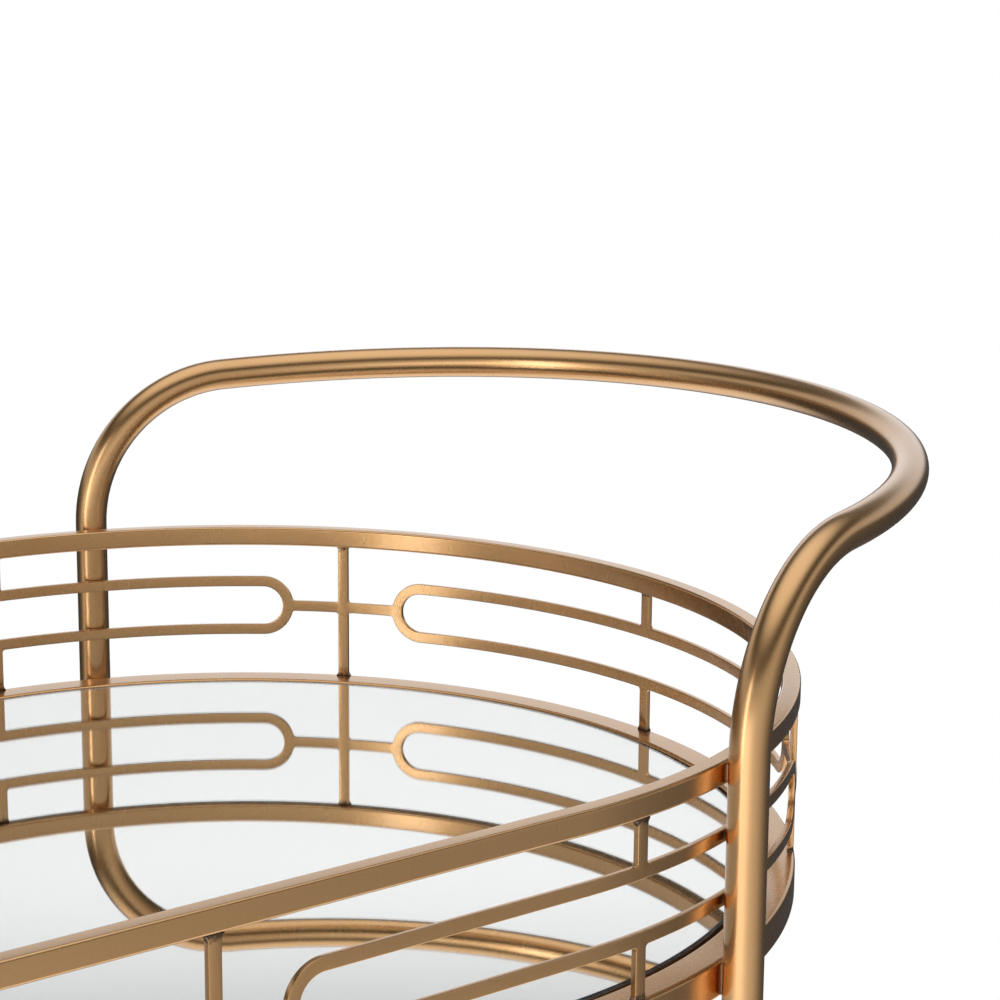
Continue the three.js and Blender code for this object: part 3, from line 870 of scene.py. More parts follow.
@dataclass
class Palette:
    """Every finish on the cart, made once."""

    gold: Colour = (0.73, 0.42, 0.175)
    gold_cloud: Colour = (0.7, 0.395, 0.16)
    gold_worn: Colour = (0.78, 0.52, 0.28)
    # Colours of the weld beads: burnt weld colour, kept dark as well to paint the shade beside each leg
    # where it meets a rim or a ring.
    burnt: Colour = (0.3, 0.17, 0.08)
    burnt_cloud: Colour = (0.2, 0.11, 0.05)
    weld_heights: tuple[float, ...] = ()
    plated: bpy.types.Material = field(init=False)
    gallery: bpy.types.Material = field(init=False)
    weld: bpy.types.Material = field(init=False)
    glass: bpy.types.Material = field(init=False)
    silver: bpy.types.Material = field(init=False)
    board: bpy.types.Material = field(init=False)
    zinc: bpy.types.Material = field(init=False)
    plastic: bpy.types.Material = field(init=False)
    rubber: bpy.types.Material = field(init=False)

    def __post_init__(self) -> None:
        """Makes the materials."""
        gold = (self.gold, self.gold_cloud, self.gold_worn)
        burnt = (self.burnt, self.burnt_cloud, self.burnt)
        zinc = ((0.5, 0.5, 0.48), (0.42, 0.43, 0.43), (0.66, 0.66, 0.64))
        black = ((0.018, 0.018, 0.018), (0.05, 0.048, 0.046))
        tread = ((0.022, 0.021, 0.02), (0.07, 0.066, 0.06))
        # The gallery's plating darkens at its welds, partly as burnt colour and partly as painted shade
        # where it meets the ring and the rim.
        shaded_at_welds = PlatedMetal("champagne_plating_welded", *gold, weld_heights=self.weld_heights)
        self.plated = PlatedMetal("champagne_plating", *gold).build()
        self.gallery = shaded_at_welds.build()
        # Weld beads: dark burnt colour that also paints the shade beside each leg.
        self.weld = PlatedMetal("champagne_weld", *burnt, roughness=0.36, wear=0.3).build()
        self.glass = ClearGlass("float_glass").build()
        self.silver = SilverBacking("mirror_silvering").build()
        self.board = FibreBoard("pressed_board").build()
        self.zinc = PlatedMetal("zinc_plating", *zinc, roughness=0.33, lacquer=0.0).build()
        self.plastic = Moulded("dark_moulding", *black, 0.42, 0.00003).build()
        self.rubber = Moulded("tread_rubber", *tread, 0.72, 0.00005, wear=0.8, dust=0.35).build()


# ---- Sizes that the sub-assemblies share -------------------------------------------------------------


@dataclass(frozen=True)
class Oval:
    """The trays' outline: two straight sides and two half-round ends."""

    radius: float = 0.203
    centre: float = 0.123
    strip_inset: float = 0.0015
    clips: int = 6

    @property
    def strip_radius(self) -> float:
        """Radius of the gallery strip's middle."""
        return self.radius - self.strip_inset

    @property
    def perimeter(self) -> float:
        """Length round the middle of the gallery strip."""
        return 2 * math.pi * self.strip_radius + 4 * self.centre

    def rolled(self, along: float, out: float) -> tuple[float, float]:
        """Place on the rolled gallery strip.

        Args:
            along: Length from the +X tip, on the strip's middle.
            out: Distance outside that middle.

        Returns:
            X and Y.
        """
        half = self.perimeter / 2
        turns = math.floor(along / half + 0.5)
        local = along - turns * half
        side = 1 if turns % 2 == 0 else -1
        reach = min(abs(local), self.strip_radius * math.pi / 2)
        angle = math.copysign(reach, local) / self.strip_radius
        radius = self.strip_radius + out
        x = self.centre + radius * math.cos(angle) - (abs(local) - reach)
        return side * x, side * radius * math.sin(angle)

    def sweep(self, work: Workpiece, end_steps: int) -> None:
        """Sweeps the section that is selected, at the front right end of a straight side, all round.

        Args:
            work: The workpiece.
            end_steps: Steps in each half-round end.
        """
        for side in (1, -1):
            work.spin((side * self.centre, 0, 0), UP, math.pi, end_steps)
            work.extrude((-side * 2 * self.centre, 0, 0))

    def outline(self, radius: float, height: float, steps: int) -> list[Place]:
        """Points of an oval with the given end radius.

        Args:
            radius: Radius of its ends.
            height: Its height above the floor.
            steps: Facets in each end.

        Returns:
            The points, anticlockwise.
        """
        points: list[Place] = []
        for side in (1, -1):
            for i in range(steps + 1):
                angle = (i / steps - 0.5) * math.pi
                x = self.centre + radius * math.cos(angle)
                points.append((side * x, side * radius * math.sin(angle), height))
        return points


@dataclass(frozen=True)
class Heights:
    """Heights above the floor that several pieces share."""

    upper_deck: float = 0.701
    lower_deck: float = 0.195
    gallery: float = 0.064
    rim_height: float = 0.0076
    ring_height: float = 0.012
    leg_bottom: float = 0.0657

    @property
    def tier_step(self) -> float:
        """From the upper tier down to the lower one."""
        return self.upper_deck - self.lower_deck

    @property
    def rim_top(self) -> float:
        """Top of the upper rim."""
        return self.upper_deck + self.gallery

    @property
    def welds(self) -> tuple[float, ...]:
        """Heights at which the galleries are welded."""
        decks = (self.upper_deck, self.lower_deck)
        return tuple(deck + rise for deck in decks for rise in (0.0, self.gallery - self.rim_height))


# ---- Tiers -------------------------------------------------------------------------------------------


@dataclass
class Tier:
    """The upper tray, and the lower one as its copy: rim, gallery, shelf ring, mirror and cross bars."""

    oval: Oval
    heights: Heights
    rim_width: float = 0.00635
    rim_rounding: float = 0.001
    ring_width: float = 0.0115
    ring_rounding: float = 0.0014
    vent_radius: float = 0.0015
    vent_rounding: float = 0.58
    vent_depth: float = 0.005
    end_steps: int = 112
    strip_thickness: float = 0.0022
    bar: float = 0.0043
    clip_height: float = 0.025
    clip_centre: float = 0.0296
    link_reach: float = 0.0215
    fillet: float = 0.0011
    strip_edge: float = 0.0004
    foot_flare: float = 0.0011
    foot_flare_height: float = 0.002
    flare_steps: tuple[float, ...] = (0.0, 0.2, 0.45, 0.75, 1.0)
    quarter_steps: int = 14
    roll_step: float = 0.0055
    square_on: float = 0.99
    glass_gap: float = 0.0023
    glass_drop: float = 0.0001
    glass_thickness: float = 0.0012
    arris: float = 0.0002
    silver_gap: float = 0.00002
    ground_edge: float = math.radians(12)
    board_drop: float = 0.0046
    board_thickness: float = 0.003
    board_gap: float = 0.001
    board_edge: float = 0.0003
    cross_bar: tuple[float, float] = (0.02, 0.003)
    cross_bar_edge: float = 0.0005
    cross_bar_spacing: float = 0.15

    def swept_bar(self, name: str, width: float, height: float, top: float, rounding: float) -> Workpiece:
        """Sweeps a rounded bar section round the oval.

        Args:
            name: Name of the piece.
            width: The section's width.
            height: Its height.
            top: Height of its top face.
            rounding: Rounding of its corners.

        Returns:
            The open workpiece.
        """
        work = Workpiece(name)
        x, outer, low = self.oval.centre, -self.oval.radius, top - height
        corners = [(x, outer, low), (x, outer + width, low), (x, outer + width, top), (x, outer, top)]
        work.face(corners)
        work.round_corners(corners, rounding, 4)
        bpy.ops.mesh.select_all(action="SELECT")
        bpy.ops.mesh.delete(type="ONLY_FACE")
        bpy.ops.mesh.select_all(action="SELECT")
        self.oval.sweep(work, self.end_steps)
        work.clean()
        return work

    def rim(self) -> bpy.types.Object:
        """Flat-bar rim on top of the gallery."""
        top, height = self.heights.rim_top, self.heights.rim_height
        return self.swept_bar("upper_rim_bar", self.rim_width, height, top, self.rim_rounding).finish()

    def ring(self) -> bpy.types.Object:
        """Square-tube ring round the shelf, with a plating vent under each long side."""
        deck, height = self.heights.upper_deck, self.heights.ring_height
        work = self.swept_bar("upper_ring_tube", self.ring_width, height, deck, self.ring_rounding)
        half = self.ring_width / 2 - self.ring_rounding
        for x in (-half, half):
            work.cut_across(x)
        middle = self.oval.radius - self.ring_width / 2
        places = [Vector((0, side * middle, deck - height)) for side in (-1, 1)]

        def at_vent(face: bmesh.types.BMFace) -> bool:
            """Says whether a face is centred on a vent."""
            return any((face.calc_center_median() - place).length < MM / 10 for place in places)

        work.select(Element.FACE, at_vent)
        bpy.ops.mesh.inset(thickness=half - self.vent_radius, use_individual=True)
        bpy.ops.mesh.select_mode(type=Element.CORNER.value)
        bpy.ops.mesh.bevel(offset=self.vent_radius * self.vent_rounding, segments=3, affect="VERTICES")
        work.select(Element.FACE, at_vent)
        work.extrude((0, 0, self.vent_depth))
        return work.finish()

    def half_unit(self) -> list[Place]:
        """Outline of the strip from an upright's middle to the next tie's middle, flat in X and Z."""
        deck = self.heights.upper_deck
        top = self.heights.gallery - self.heights.rim_height
        pitch = self.oval.perimeter / self.oval.clips
        half, far = self.bar / 2, pitch / 2
        outer = self.clip_height / 2
        inner = outer - self.bar
        middle, level = self.link_reach + outer, self.clip_centre
        link = math.asin(half / outer)
        flare, rise = self.foot_flare, self.foot_flare_height
        curve = [(flare * (1 - t) ** 2, rise * t) for t in self.flare_steps]

        def arc(radius: float, start: float, end: float, steps: int) -> Section:
            """Points round a slot's end, with angles from the upright's side."""
            angles = (start + (end - start) * i / steps for i in range(steps + 1))
            return [(middle - radius * math.cos(a), level + radius * math.sin(a)) for a in angles]

        quarter = math.pi / 2
        flat = [
            (0.0, 0.0),
            *((half + out, z) for out, z in curve),
            (half, level - half),
            *arc(outer, -link, -quarter, self.quarter_steps),
            (far - half, level - outer),
            *((far - half - out, z) for out, z in reversed(curve)),
            (far, 0.0),
            (far, level - inner),
            *arc(inner, -quarter, quarter, 2 * self.quarter_steps),
            (far, level + inner),
            (far, top),
            *((far - half - out, top - z) for out, z in curve),
            (far - half, level + outer),
            *arc(outer, quarter, link, self.quarter_steps),
            (half, level + half),
            *((half + out, top - z) for out, z in reversed(curve)),
            (0.0, top),
        ]
        return [(x, 0.0, deck + z) for x, z in flat]

    def gallery(self) -> bpy.types.Object:
        """Pierced strip: drawn flat, given its thickness, repeated and rolled onto the oval."""
        outline = self.half_unit()
        pitch = self.oval.perimeter / self.oval.clips
        far, half = pitch / 2, self.bar / 2
        deck, level, outer = self.heights.upper_deck, self.clip_centre, self.clip_height / 2
        link = math.asin(half / outer)
        root = self.link_reach + outer - outer * math.cos(link)
        work = Workpiece("upper_gallery_strip")
        work.face(outline)
        inside = [
            (x, 0.0, deck + level + sign * z)
            for sign in (-1, 1)
            for x, z in ((half, half), (root, half), (far - half, outer))
        ]
        work.round_corners(inside, self.fillet, 4)
        steps = round(far / self.roll_step)
        slot_end = (self.link_reach - self.fillet, self.link_reach + outer + self.fillet)
        for i in range(1, steps):
            x = far * i / steps
            if not slot_end[0] < x < slot_end[1]:
                work.cut_across(x)
        bpy.ops.mesh.select_all(action="SELECT")
        bpy.ops.transform.translate(value=(0, -self.strip_thickness / 2, 0))
        work.extrude((0, self.strip_thickness, 0))
        work.clean()
        near = 5 * MERGE_DISTANCE

        def cut_end(face: bmesh.types.BMFace) -> bool:
            """Says whether a face closes an end that joins the next unit."""
            x = face.calc_center_median().x
            return abs(face.normal.x) > self.square_on and (x < near or x > far - near)

        work.select(Element.FACE, cut_end)
        bpy.ops.mesh.delete(type="FACE")
        work.bevel_sharp(self.strip_edge, 2)
        work.select(Element.FACE, lambda f: len(f.verts) > 4)
        bpy.ops.mesh.quads_convert_to_tris(ngon_method="BEAUTY")
        bpy.ops.object.mode_set(mode="OBJECT")
        obj = work.obj
        apply_modifier(obj, "MIRROR", use_axis=(True, False, False), merge_threshold=near)
        apply_modifier(
            obj,
            "ARRAY",
            count=self.oval.clips,
            use_relative_offset=False,
            use_constant_offset=True,
            constant_offset_displace=(pitch, 0, 0),
            use_merge_vertices=True,
            merge_threshold=near,
        )
        for vertex in obj.data.vertices:
            x, y = self.oval.rolled(vertex.co.x + far, -vertex.co.y)
            vertex.co = (x, y, vertex.co.z)
        bpy.ops.object.mode_set(mode="EDIT")
        return work.finish()

    def oval_plate(self, name: str, radius: float, top: float, thickness: float, edge: float) -> Workpiece:
        """A plate with the oval's outline.

        Args:
            name: Name of the piece.
            radius: Radius of its ends.
            top: Height of its top face.
            thickness: Its thickness.
            edge: Bevel on its edges.

        Returns:
            The open workpiece.
        """
        work = Workpiece(name)
        work.prism(self.oval.outline(radius, top - thickness, self.end_steps), (0, 0, thickness))
        work.bevel_sharp(edge, 3)
        return work

    def cross_bars(self, top: float) -> list[bpy.types.Object]:
        """Flat bars under the board, a weld's gap short of the ring at each end."""
        width, thickness = self.cross_bar
        opening = self.oval.radius - self.ring_width
        bars = []
        for i, step in enumerate((-1, 0, 1)):
            x = step * self.cross_bar_spacing
            past = max(0.0, abs(x) + width / 2 - self.oval.centre)
            reach = math.sqrt(opening**2 - past**2) - WELD_GAP
            work = Workpiece(f"upper_flat_bar_{i + 1}")
            work.prism(rectangle((x, 0, top - thickness), width / 2, reach), (0, 0, thickness))
            work.bevel_sharp(self.cross_bar_edge, 2)
            bars.append(work.finish())
        return bars

    def build(self, palette: Palette) -> None:
        """Builds the upper tier, copies it down and dresses both.

        Args:
            palette: The cart's finishes.
        """
        glass_top = self.heights.upper_deck - self.glass_drop
        board_top = self.heights.upper_deck - self.board_drop
        opening = self.oval.radius - self.ring_width
        radius, gap = opening - self.glass_gap, self.silver_gap
        silver = glass_top - self.glass_thickness - board_top
        pane = self.oval_plate("upper_mirror_pane", radius, glass_top, self.glass_thickness, self.arris)
        pane.finish(self.ground_edge)
        backing = self.oval_plate(
            "upper_mirror_silver", radius, board_top + silver - gap, silver - 2 * gap, self.arris / 4
        )
        backing.finish(self.ground_edge)
        board = self.oval_plate(
            "upper_board", opening - self.board_gap, board_top, self.board_thickness, self.board_edge
        )
        board.finish()
        parts = [
            Part(self.rim(), CHAMPAGNE, palette.plated, "rim"),
            Part(self.gallery(), CHAMPAGNE, palette.gallery, "gallery"),
            Part(self.ring(), CHAMPAGNE, palette.plated, "shelf_ring"),
            Part(pane.obj, "mirror_glass", palette.glass, "mirror"),
            Part(backing.obj, "mirror_glass", palette.silver),
            Part(board.obj, "backing_board", palette.board, "backing_board"),
        ]
        for i, bar in enumerate(self.cross_bars(board_top - self.board_thickness)):
            parts.append(Part(bar, CHAMPAGNE, palette.plated, f"cross_bar_{i + 1}"))
        down = (0, 0, -self.heights.tier_step)
        for part in parts:
            lower = copied(part.obj, part.obj.name.replace("upper", "lower"), down)
            for obj, tier in ((part.obj, "upper"), (lower, "lower")):
                nodes = [f"{tier}_{part.node}"] if part.node else []
                hand_over(obj, FRAME_BODY, part.slot, part.material, *nodes)


# ---- End frames --------------------------------------------------------------------------------------


@dataclass
class EndFrame:
    """A leg, a handle and a leg in one bent tube, with the beads that weld it to the trays."""

    oval: Oval
    heights: Heights
    wall: float = 0.0012
    leg_angle: float = math.radians(71.15)
    bend_radius: float = 0.06
    bend_start: float = 0.001
    rise: float = math.radians(2.8)
    sides: int = 48
    bend_steps: int = 28
    handle_steps: int = 84
    foot_edge: float = 0.0002
    bead: float = 0.00055
    bead_spread: float = 0.0013
    bead_inset: float = 0.00015
    bead_margin: float = 0.0006
    bead_facets: int = 10
    bead_start: float = 0.45
    bead_end: float = 0.5
    bead_ripple: float = 0.86

    @property
    def leg(self) -> tuple[float, float]:
        """X and Y of the rear right leg."""
        reach = self.oval.radius + TUBE_RADIUS + WELD_GAP
        return self.oval.centre + reach * math.cos(self.leg_angle), reach * math.sin(self.leg_angle)

    def tube(self) -> bpy.types.Object:
        """Bends the right frame's tube, from the rear leg's foot to the front one's."""
        leg_x, leg_y = self.leg
        turn = math.pi / 2 - self.rise
        run = self.bend_radius * (1 - math.cos(turn))
        heading = math.asin(run / leg_y)
        ax, ay = math.cos(heading), math.sin(heading)
        bottom = self.heights.rim_top + self.bend_start
        arc = math.acos(math.cos(self.rise) * ay)
        radius = (leg_y - run * ay) / math.sin(arc)
        lift = math.asin(math.sin(self.rise) / math.sin(arc))
        back = radius * math.cos(arc)
        arc_x = leg_x + run * ax - back * math.cos(lift)
        arc_z = bottom + self.bend_radius * math.sin(turn) - back * math.sin(lift)
        height = bottom - self.heights.leg_bottom
        reach = self.bend_radius
        work = Workpiece("right_bent_tube")
        work.circle((leg_x, leg_y, self.heights.leg_bottom), TUBE_RADIUS, self.sides)
        work.extrude((0, 0, height))
        work.spin((leg_x + reach * ax, leg_y - reach * ay, bottom), (ay, ax, 0), turn, self.bend_steps)
        tilted = (-math.sin(lift), 0, math.cos(lift))
        work.spin((arc_x, 0, arc_z), tilted, -2 * arc, self.handle_steps)
        work.spin((leg_x + reach * ax, reach * ay - leg_y, bottom), (-ay, ax, 0), -turn, self.bend_steps)
        work.extrude((0, 0, -height))
        obj = work.finish(weighted=False)
        apply_modifier(obj, "SOLIDIFY", thickness=self.wall, offset=-1.0, use_even_offset=True)
        ease_folds(obj, self.foot_edge)
        return obj

    def beads(self) -> bpy.types.Object:
        """Rippled weld beads on both sides of the line where each leg meets a rim or a ring. Their dark
        burnt finish is also painted shade beside the leg.
        """
        work = Workpiece("right_frame_welds")
        rim_h = self.heights.rim_height
        ring_h, margin = self.heights.ring_height, self.bead_margin
        seams = []
        for deck in (self.heights.upper_deck, self.heights.lower_deck):
            seams.append((deck + self.heights.gallery - rim_h, rim_h))
            seams.append((deck - ring_h, ring_h))
        inward = self.oval.radius + self.bead_inset
        for side in (1, -1):
            for lean in (1, -1):
                angle = side * self.leg_angle + lean * self.bead_spread / self.oval.radius
                x = self.oval.centre + inward * math.cos(angle)
                y = inward * math.sin(angle)
                for low, tall in seams:
                    self.one_bead(work, (x, y), low + margin, tall - 2 * margin)
        return work.finish(FOLD_ANGLE, weighted=False)

    def one_bead(self, work: Workpiece, place: tuple[float, float], low: float, tall: float) -> None:
        """Draws one upright bead as a ring that is extruded up and swelled at every other step.

        Args:
            work: The workpiece.
            place: Its X and Y.
            low: Height of its lower end.
            tall: Its length.
        """
        steps = self.bead_facets
        work.circle((*place, low), self.bead * self.bead_start, self.bead_facets)
        bpy.ops.mesh.edge_face_add()
        for i in range(1, steps + 1):
            work.extrude((0, 0, tall / steps))
            if i == 1:
                swell = 1 / self.bead_start
            elif i == steps:
                swell = self.bead_end
            else:
                swell = self.bead_ripple if i % 2 else 1 / self.bead_ripple
            middle = (*place, low + tall * i / steps)
            bpy.ops.transform.resize(value=(swell, swell, 1), center_override=middle)

    def build(self, palette: Palette) -> None:
        """Builds the right frame, copies it to the left and dresses both.

        Args:
            palette: The cart's finishes.
        """
        tube, beads = self.tube(), self.beads()
        for piece, material, node in ((tube, palette.plated, "end_frame"), (beads, palette.weld, "")):
            left = copied(piece, piece.name.replace("right", "left"), (0, 0, 0), mirrored=True)
            for obj, side in ((piece, "right"), (left, "left")):
                nodes = [f"{side}_{node}"] if node else []
                hand_over(obj, FRAME_BODY, CHAMPAGNE, material, *nodes)


# ---- Casters -----------------------------------------------------------------------------------------


@dataclass
class Caster:
    """One caster, modelled about the front right leg and copied to the others."""

    leg: tuple[float, float]
    heights: Heights
    wheel_radius: float = 0.025
    wheel_width: float = 0.016
    tread: float = 0.006
    trail: float = 0.018
    cheek_inner: float = 0.0088
    cheek: float = 0.0018
    plate_bottom: float = 0.056
    plate_top: float = 0.058
    plate_front: float = 0.012
    plate_rear: float = 0.014
    brake_pin_offset: float = 0.0045
    brake_pin_angle: float = math.radians(114)
    boss_radius: float = 0.007
    lug_radius: float = 0.0044
    bridge_depth: float = 0.0045
    shoulder_reach: float = 0.0022
    inner_corner: float = 0.0008
    cheek_shoulder: float = 0.0016
    cheek_overlap: float = 0.0006
    pressed_edge: float = 0.00035
    lever_gap: float = 0.0004
    lever_edge: float = 0.00045
    hub_rounding: float = 0.0005
    tyre_rounding: float = 0.0009
    hub_gap: float = 0.3
    bearing: Section = (
        (4.3, 58), (9, 58), (9, 58.75), (8.55, 58.85), (8.55, 59.15), (9, 59.25), (9, 60), (4.3, 60),
    )
    axle_end: Section = ((0, -11.8), (2.6, -11.75), (4.2, -11.4), (5, -10.65), (3, -10.6))
    brake_pin_end: Section = ((0, -11.2), (1.5, -11.15), (2.4, -10.65), (1.5, -10.6))

    @property
    def home(self) -> Vector:
        """Foot of the leg that the first caster is modelled on."""
        return Vector((self.leg[0], -self.leg[1], 0.0))

    @property
    def axle_place(self) -> Vector:
        """Middle of the first caster's axle."""
        return self.home + Vector((-self.trail, 0, self.wheel_radius))

    @property
    def brake_pin_place(self) -> Vector:
        """Middle of the first caster's brake pin, were it braked."""
        reach = self.wheel_radius + self.brake_pin_offset
        angle = self.brake_pin_angle
        return self.axle_place + Vector((reach * math.cos(angle), 0, reach * math.sin(angle)))

    @property
    def bush(self) -> Section:
        """Half section of the bush in the leg's foot, in millimetres."""
        tube = TUBE_RADIUS / MM
        return [(4.2, 64.2), (tube, 64.2), (tube, 65.7), (4.75, 65.7), (4.75, 91.7), (4.2, 91.7)]

    @property
    def hub(self) -> Section:
        """Half section of the wheel's centre, in millimetres."""
        rim, half = (self.wheel_radius - self.tread) / MM - self.hub_gap, self.wheel_width / MM / 2
        web = [(3.08, -half), (6, -half), (6.3, -3.2), (7.2, -2.7), (rim - 3.6, -2.7), (rim - 2.7, -3.4)]
        return both_ways([*web, (rim - 2.7, 1 - half), (rim, 1 - half)])

    @property
    def tyre(self) -> Section:
        """Half section of the tread, in millimetres."""
        radius, half = self.wheel_radius / MM, self.wheel_width / MM / 2
        shoulder = [(radius - 0.9, 0.5 - half), (radius - 0.15, 2.4 - half), (radius, 4 - half)]
        return both_ways([(radius - self.tread / MM, -half), (radius - 2.6, -half), *shoulder])

    @staticmethod
    def turned_piece(
        name: str,
        section: Section,
        centre: Vector,
        axis: Vector = UP,
        rounding: float = 0.0003,
    ) -> bpy.types.Object:
        """A turned piece.

        Args:
            name: Its name.
            section: Half section in millimetres.
            centre: The axis's zero point.
            axis: Its direction.
            rounding: Rounding of the section's corners.

        Returns:
            The piece.
        """
        work = Workpiece(name)
        scaled = [(radius * MM, place * MM) for radius, place in section]
        add_turned(work, softened(scaled, rounding), centre, axis)
        return work.finish()

    def stem(self) -> bpy.types.Object:
        """Stem with its riveted head, six-sided collar and threaded end."""
        thread: list[tuple[float, float]] = []
        pitch, root, crest, start, turns = 1.0, 3.5, 3.95, 65.0, 22
        flank, land = 0.45 * pitch, 0.6 * pitch
        for i in range(turns):
            low = start + i * pitch
            thread += [(root, low), (crest, low + flank), (crest, low + land)]
        head = [(0, 53.8), (5.2, 53.8), (6, 54.6), (6, 55.8), (4, 55.8), (4, 64.4)]
        section = [*head, *thread, (root, 87.4), (2.9, 88.2), (0, 88.2)]
        work = Workpiece("front_right_threaded_stem")
        scaled = [(radius * MM, place * MM) for radius, place in section]
        add_turned(work, scaled, self.home, steps=32)
        low, high, corner = 60.2 * MM, 64.2 * MM, 6.35 * MM
        work.circle((self.home.x, self.home.y, low), corner, 6)
        bpy.ops.mesh.edge_face_add()
        work.extrude((0, 0, high - low))
        bpy.ops.mesh.select_linked()
        bpy.ops.mesh.normals_make_consistent(inside=False)
        work.select(
            Element.EDGE,
            lambda e: len(e.link_faces) == 2
            and e.calc_length() > corner / 2
            and all((v.co - self.home).xy.length > corner * 0.9 for v in e.verts),
        )
        bpy.ops.mesh.bevel(offset=0.0005, segments=2, affect="EDGES")
        return work.finish()

    def cheek_points(self, braked: bool) -> Section:
        """Outline of a cheek in X and Z about the swivel axis, from its front edge down and round."""
        steps = 20
        axle = (-self.trail, self.wheel_radius)
        pin = self.brake_pin_place - self.home

        def arc(centre: Place, radius: float, start: float, end: float) -> Section:
            """Points clockwise round a centre, with angles in degrees."""
            angles = (math.radians(start + (end - start) * i / steps) for i in range(steps + 1))
            return [(centre[0] + radius * math.cos(a), centre[1] + radius * math.sin(a)) for a in angles]

        under = self.plate_top - self.cheek_overlap
        points = [(self.plate_front, under), (self.plate_front, 2 * self.wheel_radius)]
        points += arc(axle, self.boss_radius, -20, -190)
        if braked:
            points += arc((pin.x, pin.z), self.lug_radius, 170, 90)
        else:
            points.append((-self.plate_rear, 2 * self.wheel_radius))
        points.append((-self.plate_rear, under))
        return points

    def fork(self, braked: bool) -> bpy.types.Object:
        """Stamped fork: a bridge with rounded shoulders and two cheeks, made one by a union."""
        name = "front_left_stamped_fork" if braked else "front_right_stamped_fork"
        work = Workpiece(name)
        outer, inner = self.cheek_inner + self.cheek, self.cheek_inner
        low, top, under = self.plate_top - self.bridge_depth, self.plate_top, self.plate_bottom
        x = self.home.x - self.plate_rear
        y = self.home.y
        flat = [(-outer, low), (-inner, low), (-inner, under), (inner, under), (inner, low), (outer, low)]
        section = [(x, y + out, z) for out, z in (*flat, (outer, top), (-outer, top))]
        work.face(section)
        work.round_corners([section[6], section[7]], self.shoulder_reach, 6)
        work.round_corners([section[2], section[3]], self.inner_corner, 4)
        bpy.ops.mesh.select_all(action="SELECT")
        work.extrude((self.plate_front + self.plate_rear, 0, 0))
        bridge = work.finish(weighted=False)
        cheeks = []
        for side in (1, -1):
            cheek = Workpiece(f"{name}_cheek")
            start = y + side * inner
            outline = [(self.home.x + px, start, pz) for px, pz in self.cheek_points(braked)]
            cheek.face(outline)
            cheek.extrude((0, side * self.cheek, 0))
            cheek.finish(weighted=False)
            bpy.ops.object.mode_set(mode="EDIT")
            cheek.select(Element.EDGE, lambda e, y=start + side * self.cheek: self.at_shoulder(e, y))
            bpy.ops.mesh.bevel(offset=self.cheek_shoulder, segments=4, affect="EDGES")
            bpy.ops.object.mode_set(mode="OBJECT")
            cheeks.append(cheek.obj)
        for cheek_obj in cheeks:
            apply_modifier(bridge, "BOOLEAN", operation="UNION", object=cheek_obj, solver="EXACT")
            bpy.data.objects.remove(cheek_obj)
        ease_folds(bridge, self.pressed_edge)
        apply_modifier(bridge, "WEIGHTED_NORMAL", keep_sharp=True)
        return bridge

    def at_shoulder(self, edge: bmesh.types.BMEdge, outer: float) -> bool:
        """Says whether an edge is a cheek's upper one, at the Y of its outer face."""
        return all(v.co.z > self.plate_bottom and abs(v.co.y - outer) < MM / 10 for v in edge.verts)

    def lever(self) -> bpy.types.Object:
        """Brake lever: cam, shoe and ribbed pedal."""
        pin = self.brake_pin_place
        half = self.cheek_inner - self.lever_gap
        reach, turn = 4.6, math.radians(-101)
        shoe = (reach * math.cos(turn), reach * math.sin(turn))
        top, lift, length, thick = 3.45, 4.0, 31.0, 3.0
        ribs: list[tuple[float, float]] = []
        count, start, end = 9, -13.0, -29.5
        for i in range(count):
            for share, drop in ((0.0, 0.0), (0.15, 0.5), (0.5, 0.5), (0.65, 0.0)):
                x = start + (end - start) * (i + share) / count
                slope = top + lift * (x + top) / (top - length)
                ribs.append((x, slope - drop))
        cam = [(2.4, 2.95), (3.45, -0.7), (1.55, -3.1), shoe, (-3.45, -1.7)]
        pedal = [(-2 * top, top - thick), (-length, top + lift - thick), (-length, top + lift)]
        points = [*cam, *pedal, *reversed(ribs), (-top, top)]
        work = Workpiece("front_left_foot_lever")
        places = [(pin.x + x * MM, pin.y - half, pin.z + z * MM) for x, z in points]
        work.face(places)
        work.round_corners([places[i] for i in (0, 1, 2, 4, 5)], 0.0008, 3)
        work.round_corners([places[6], places[7]], 0.0006, 3)
        bpy.ops.mesh.select_all(action="SELECT")
        work.extrude((0, 2 * half, 0))
        work.clean()
        work.select(Element.EDGE, lambda e: self.lever_side_edge(e, pin.y, half))
        bpy.ops.mesh.bevel(offset=self.lever_edge, segments=2, affect="EDGES")
        return work.finish()

    @staticmethod
    def lever_side_edge(edge: bmesh.types.BMEdge, middle: float, half: float) -> bool:
        """Says whether an edge runs round one of the lever's two sides."""
        return all(abs(abs(v.co.y - middle) - half) < MM / 100 for v in edge.verts) and (
            abs(edge.verts[0].co.y - edge.verts[1].co.y) < MM / 100
        )

    def build(self, palette: Palette) -> None:
        """Builds the pieces once, copies them to each corner and dresses them.

        Args:
            palette: The cart's finishes.
        """
        at_axle, at_pin = self.axle_place, self.brake_pin_place
        zinc, plastic = palette.zinc, palette.plastic

        def turned(name: str, *shape: Section | Vector | float) -> bpy.types.Object:
            """A turned piece of the front right caster."""
            return self.turned_piece(f"front_right_{name}", *shape)

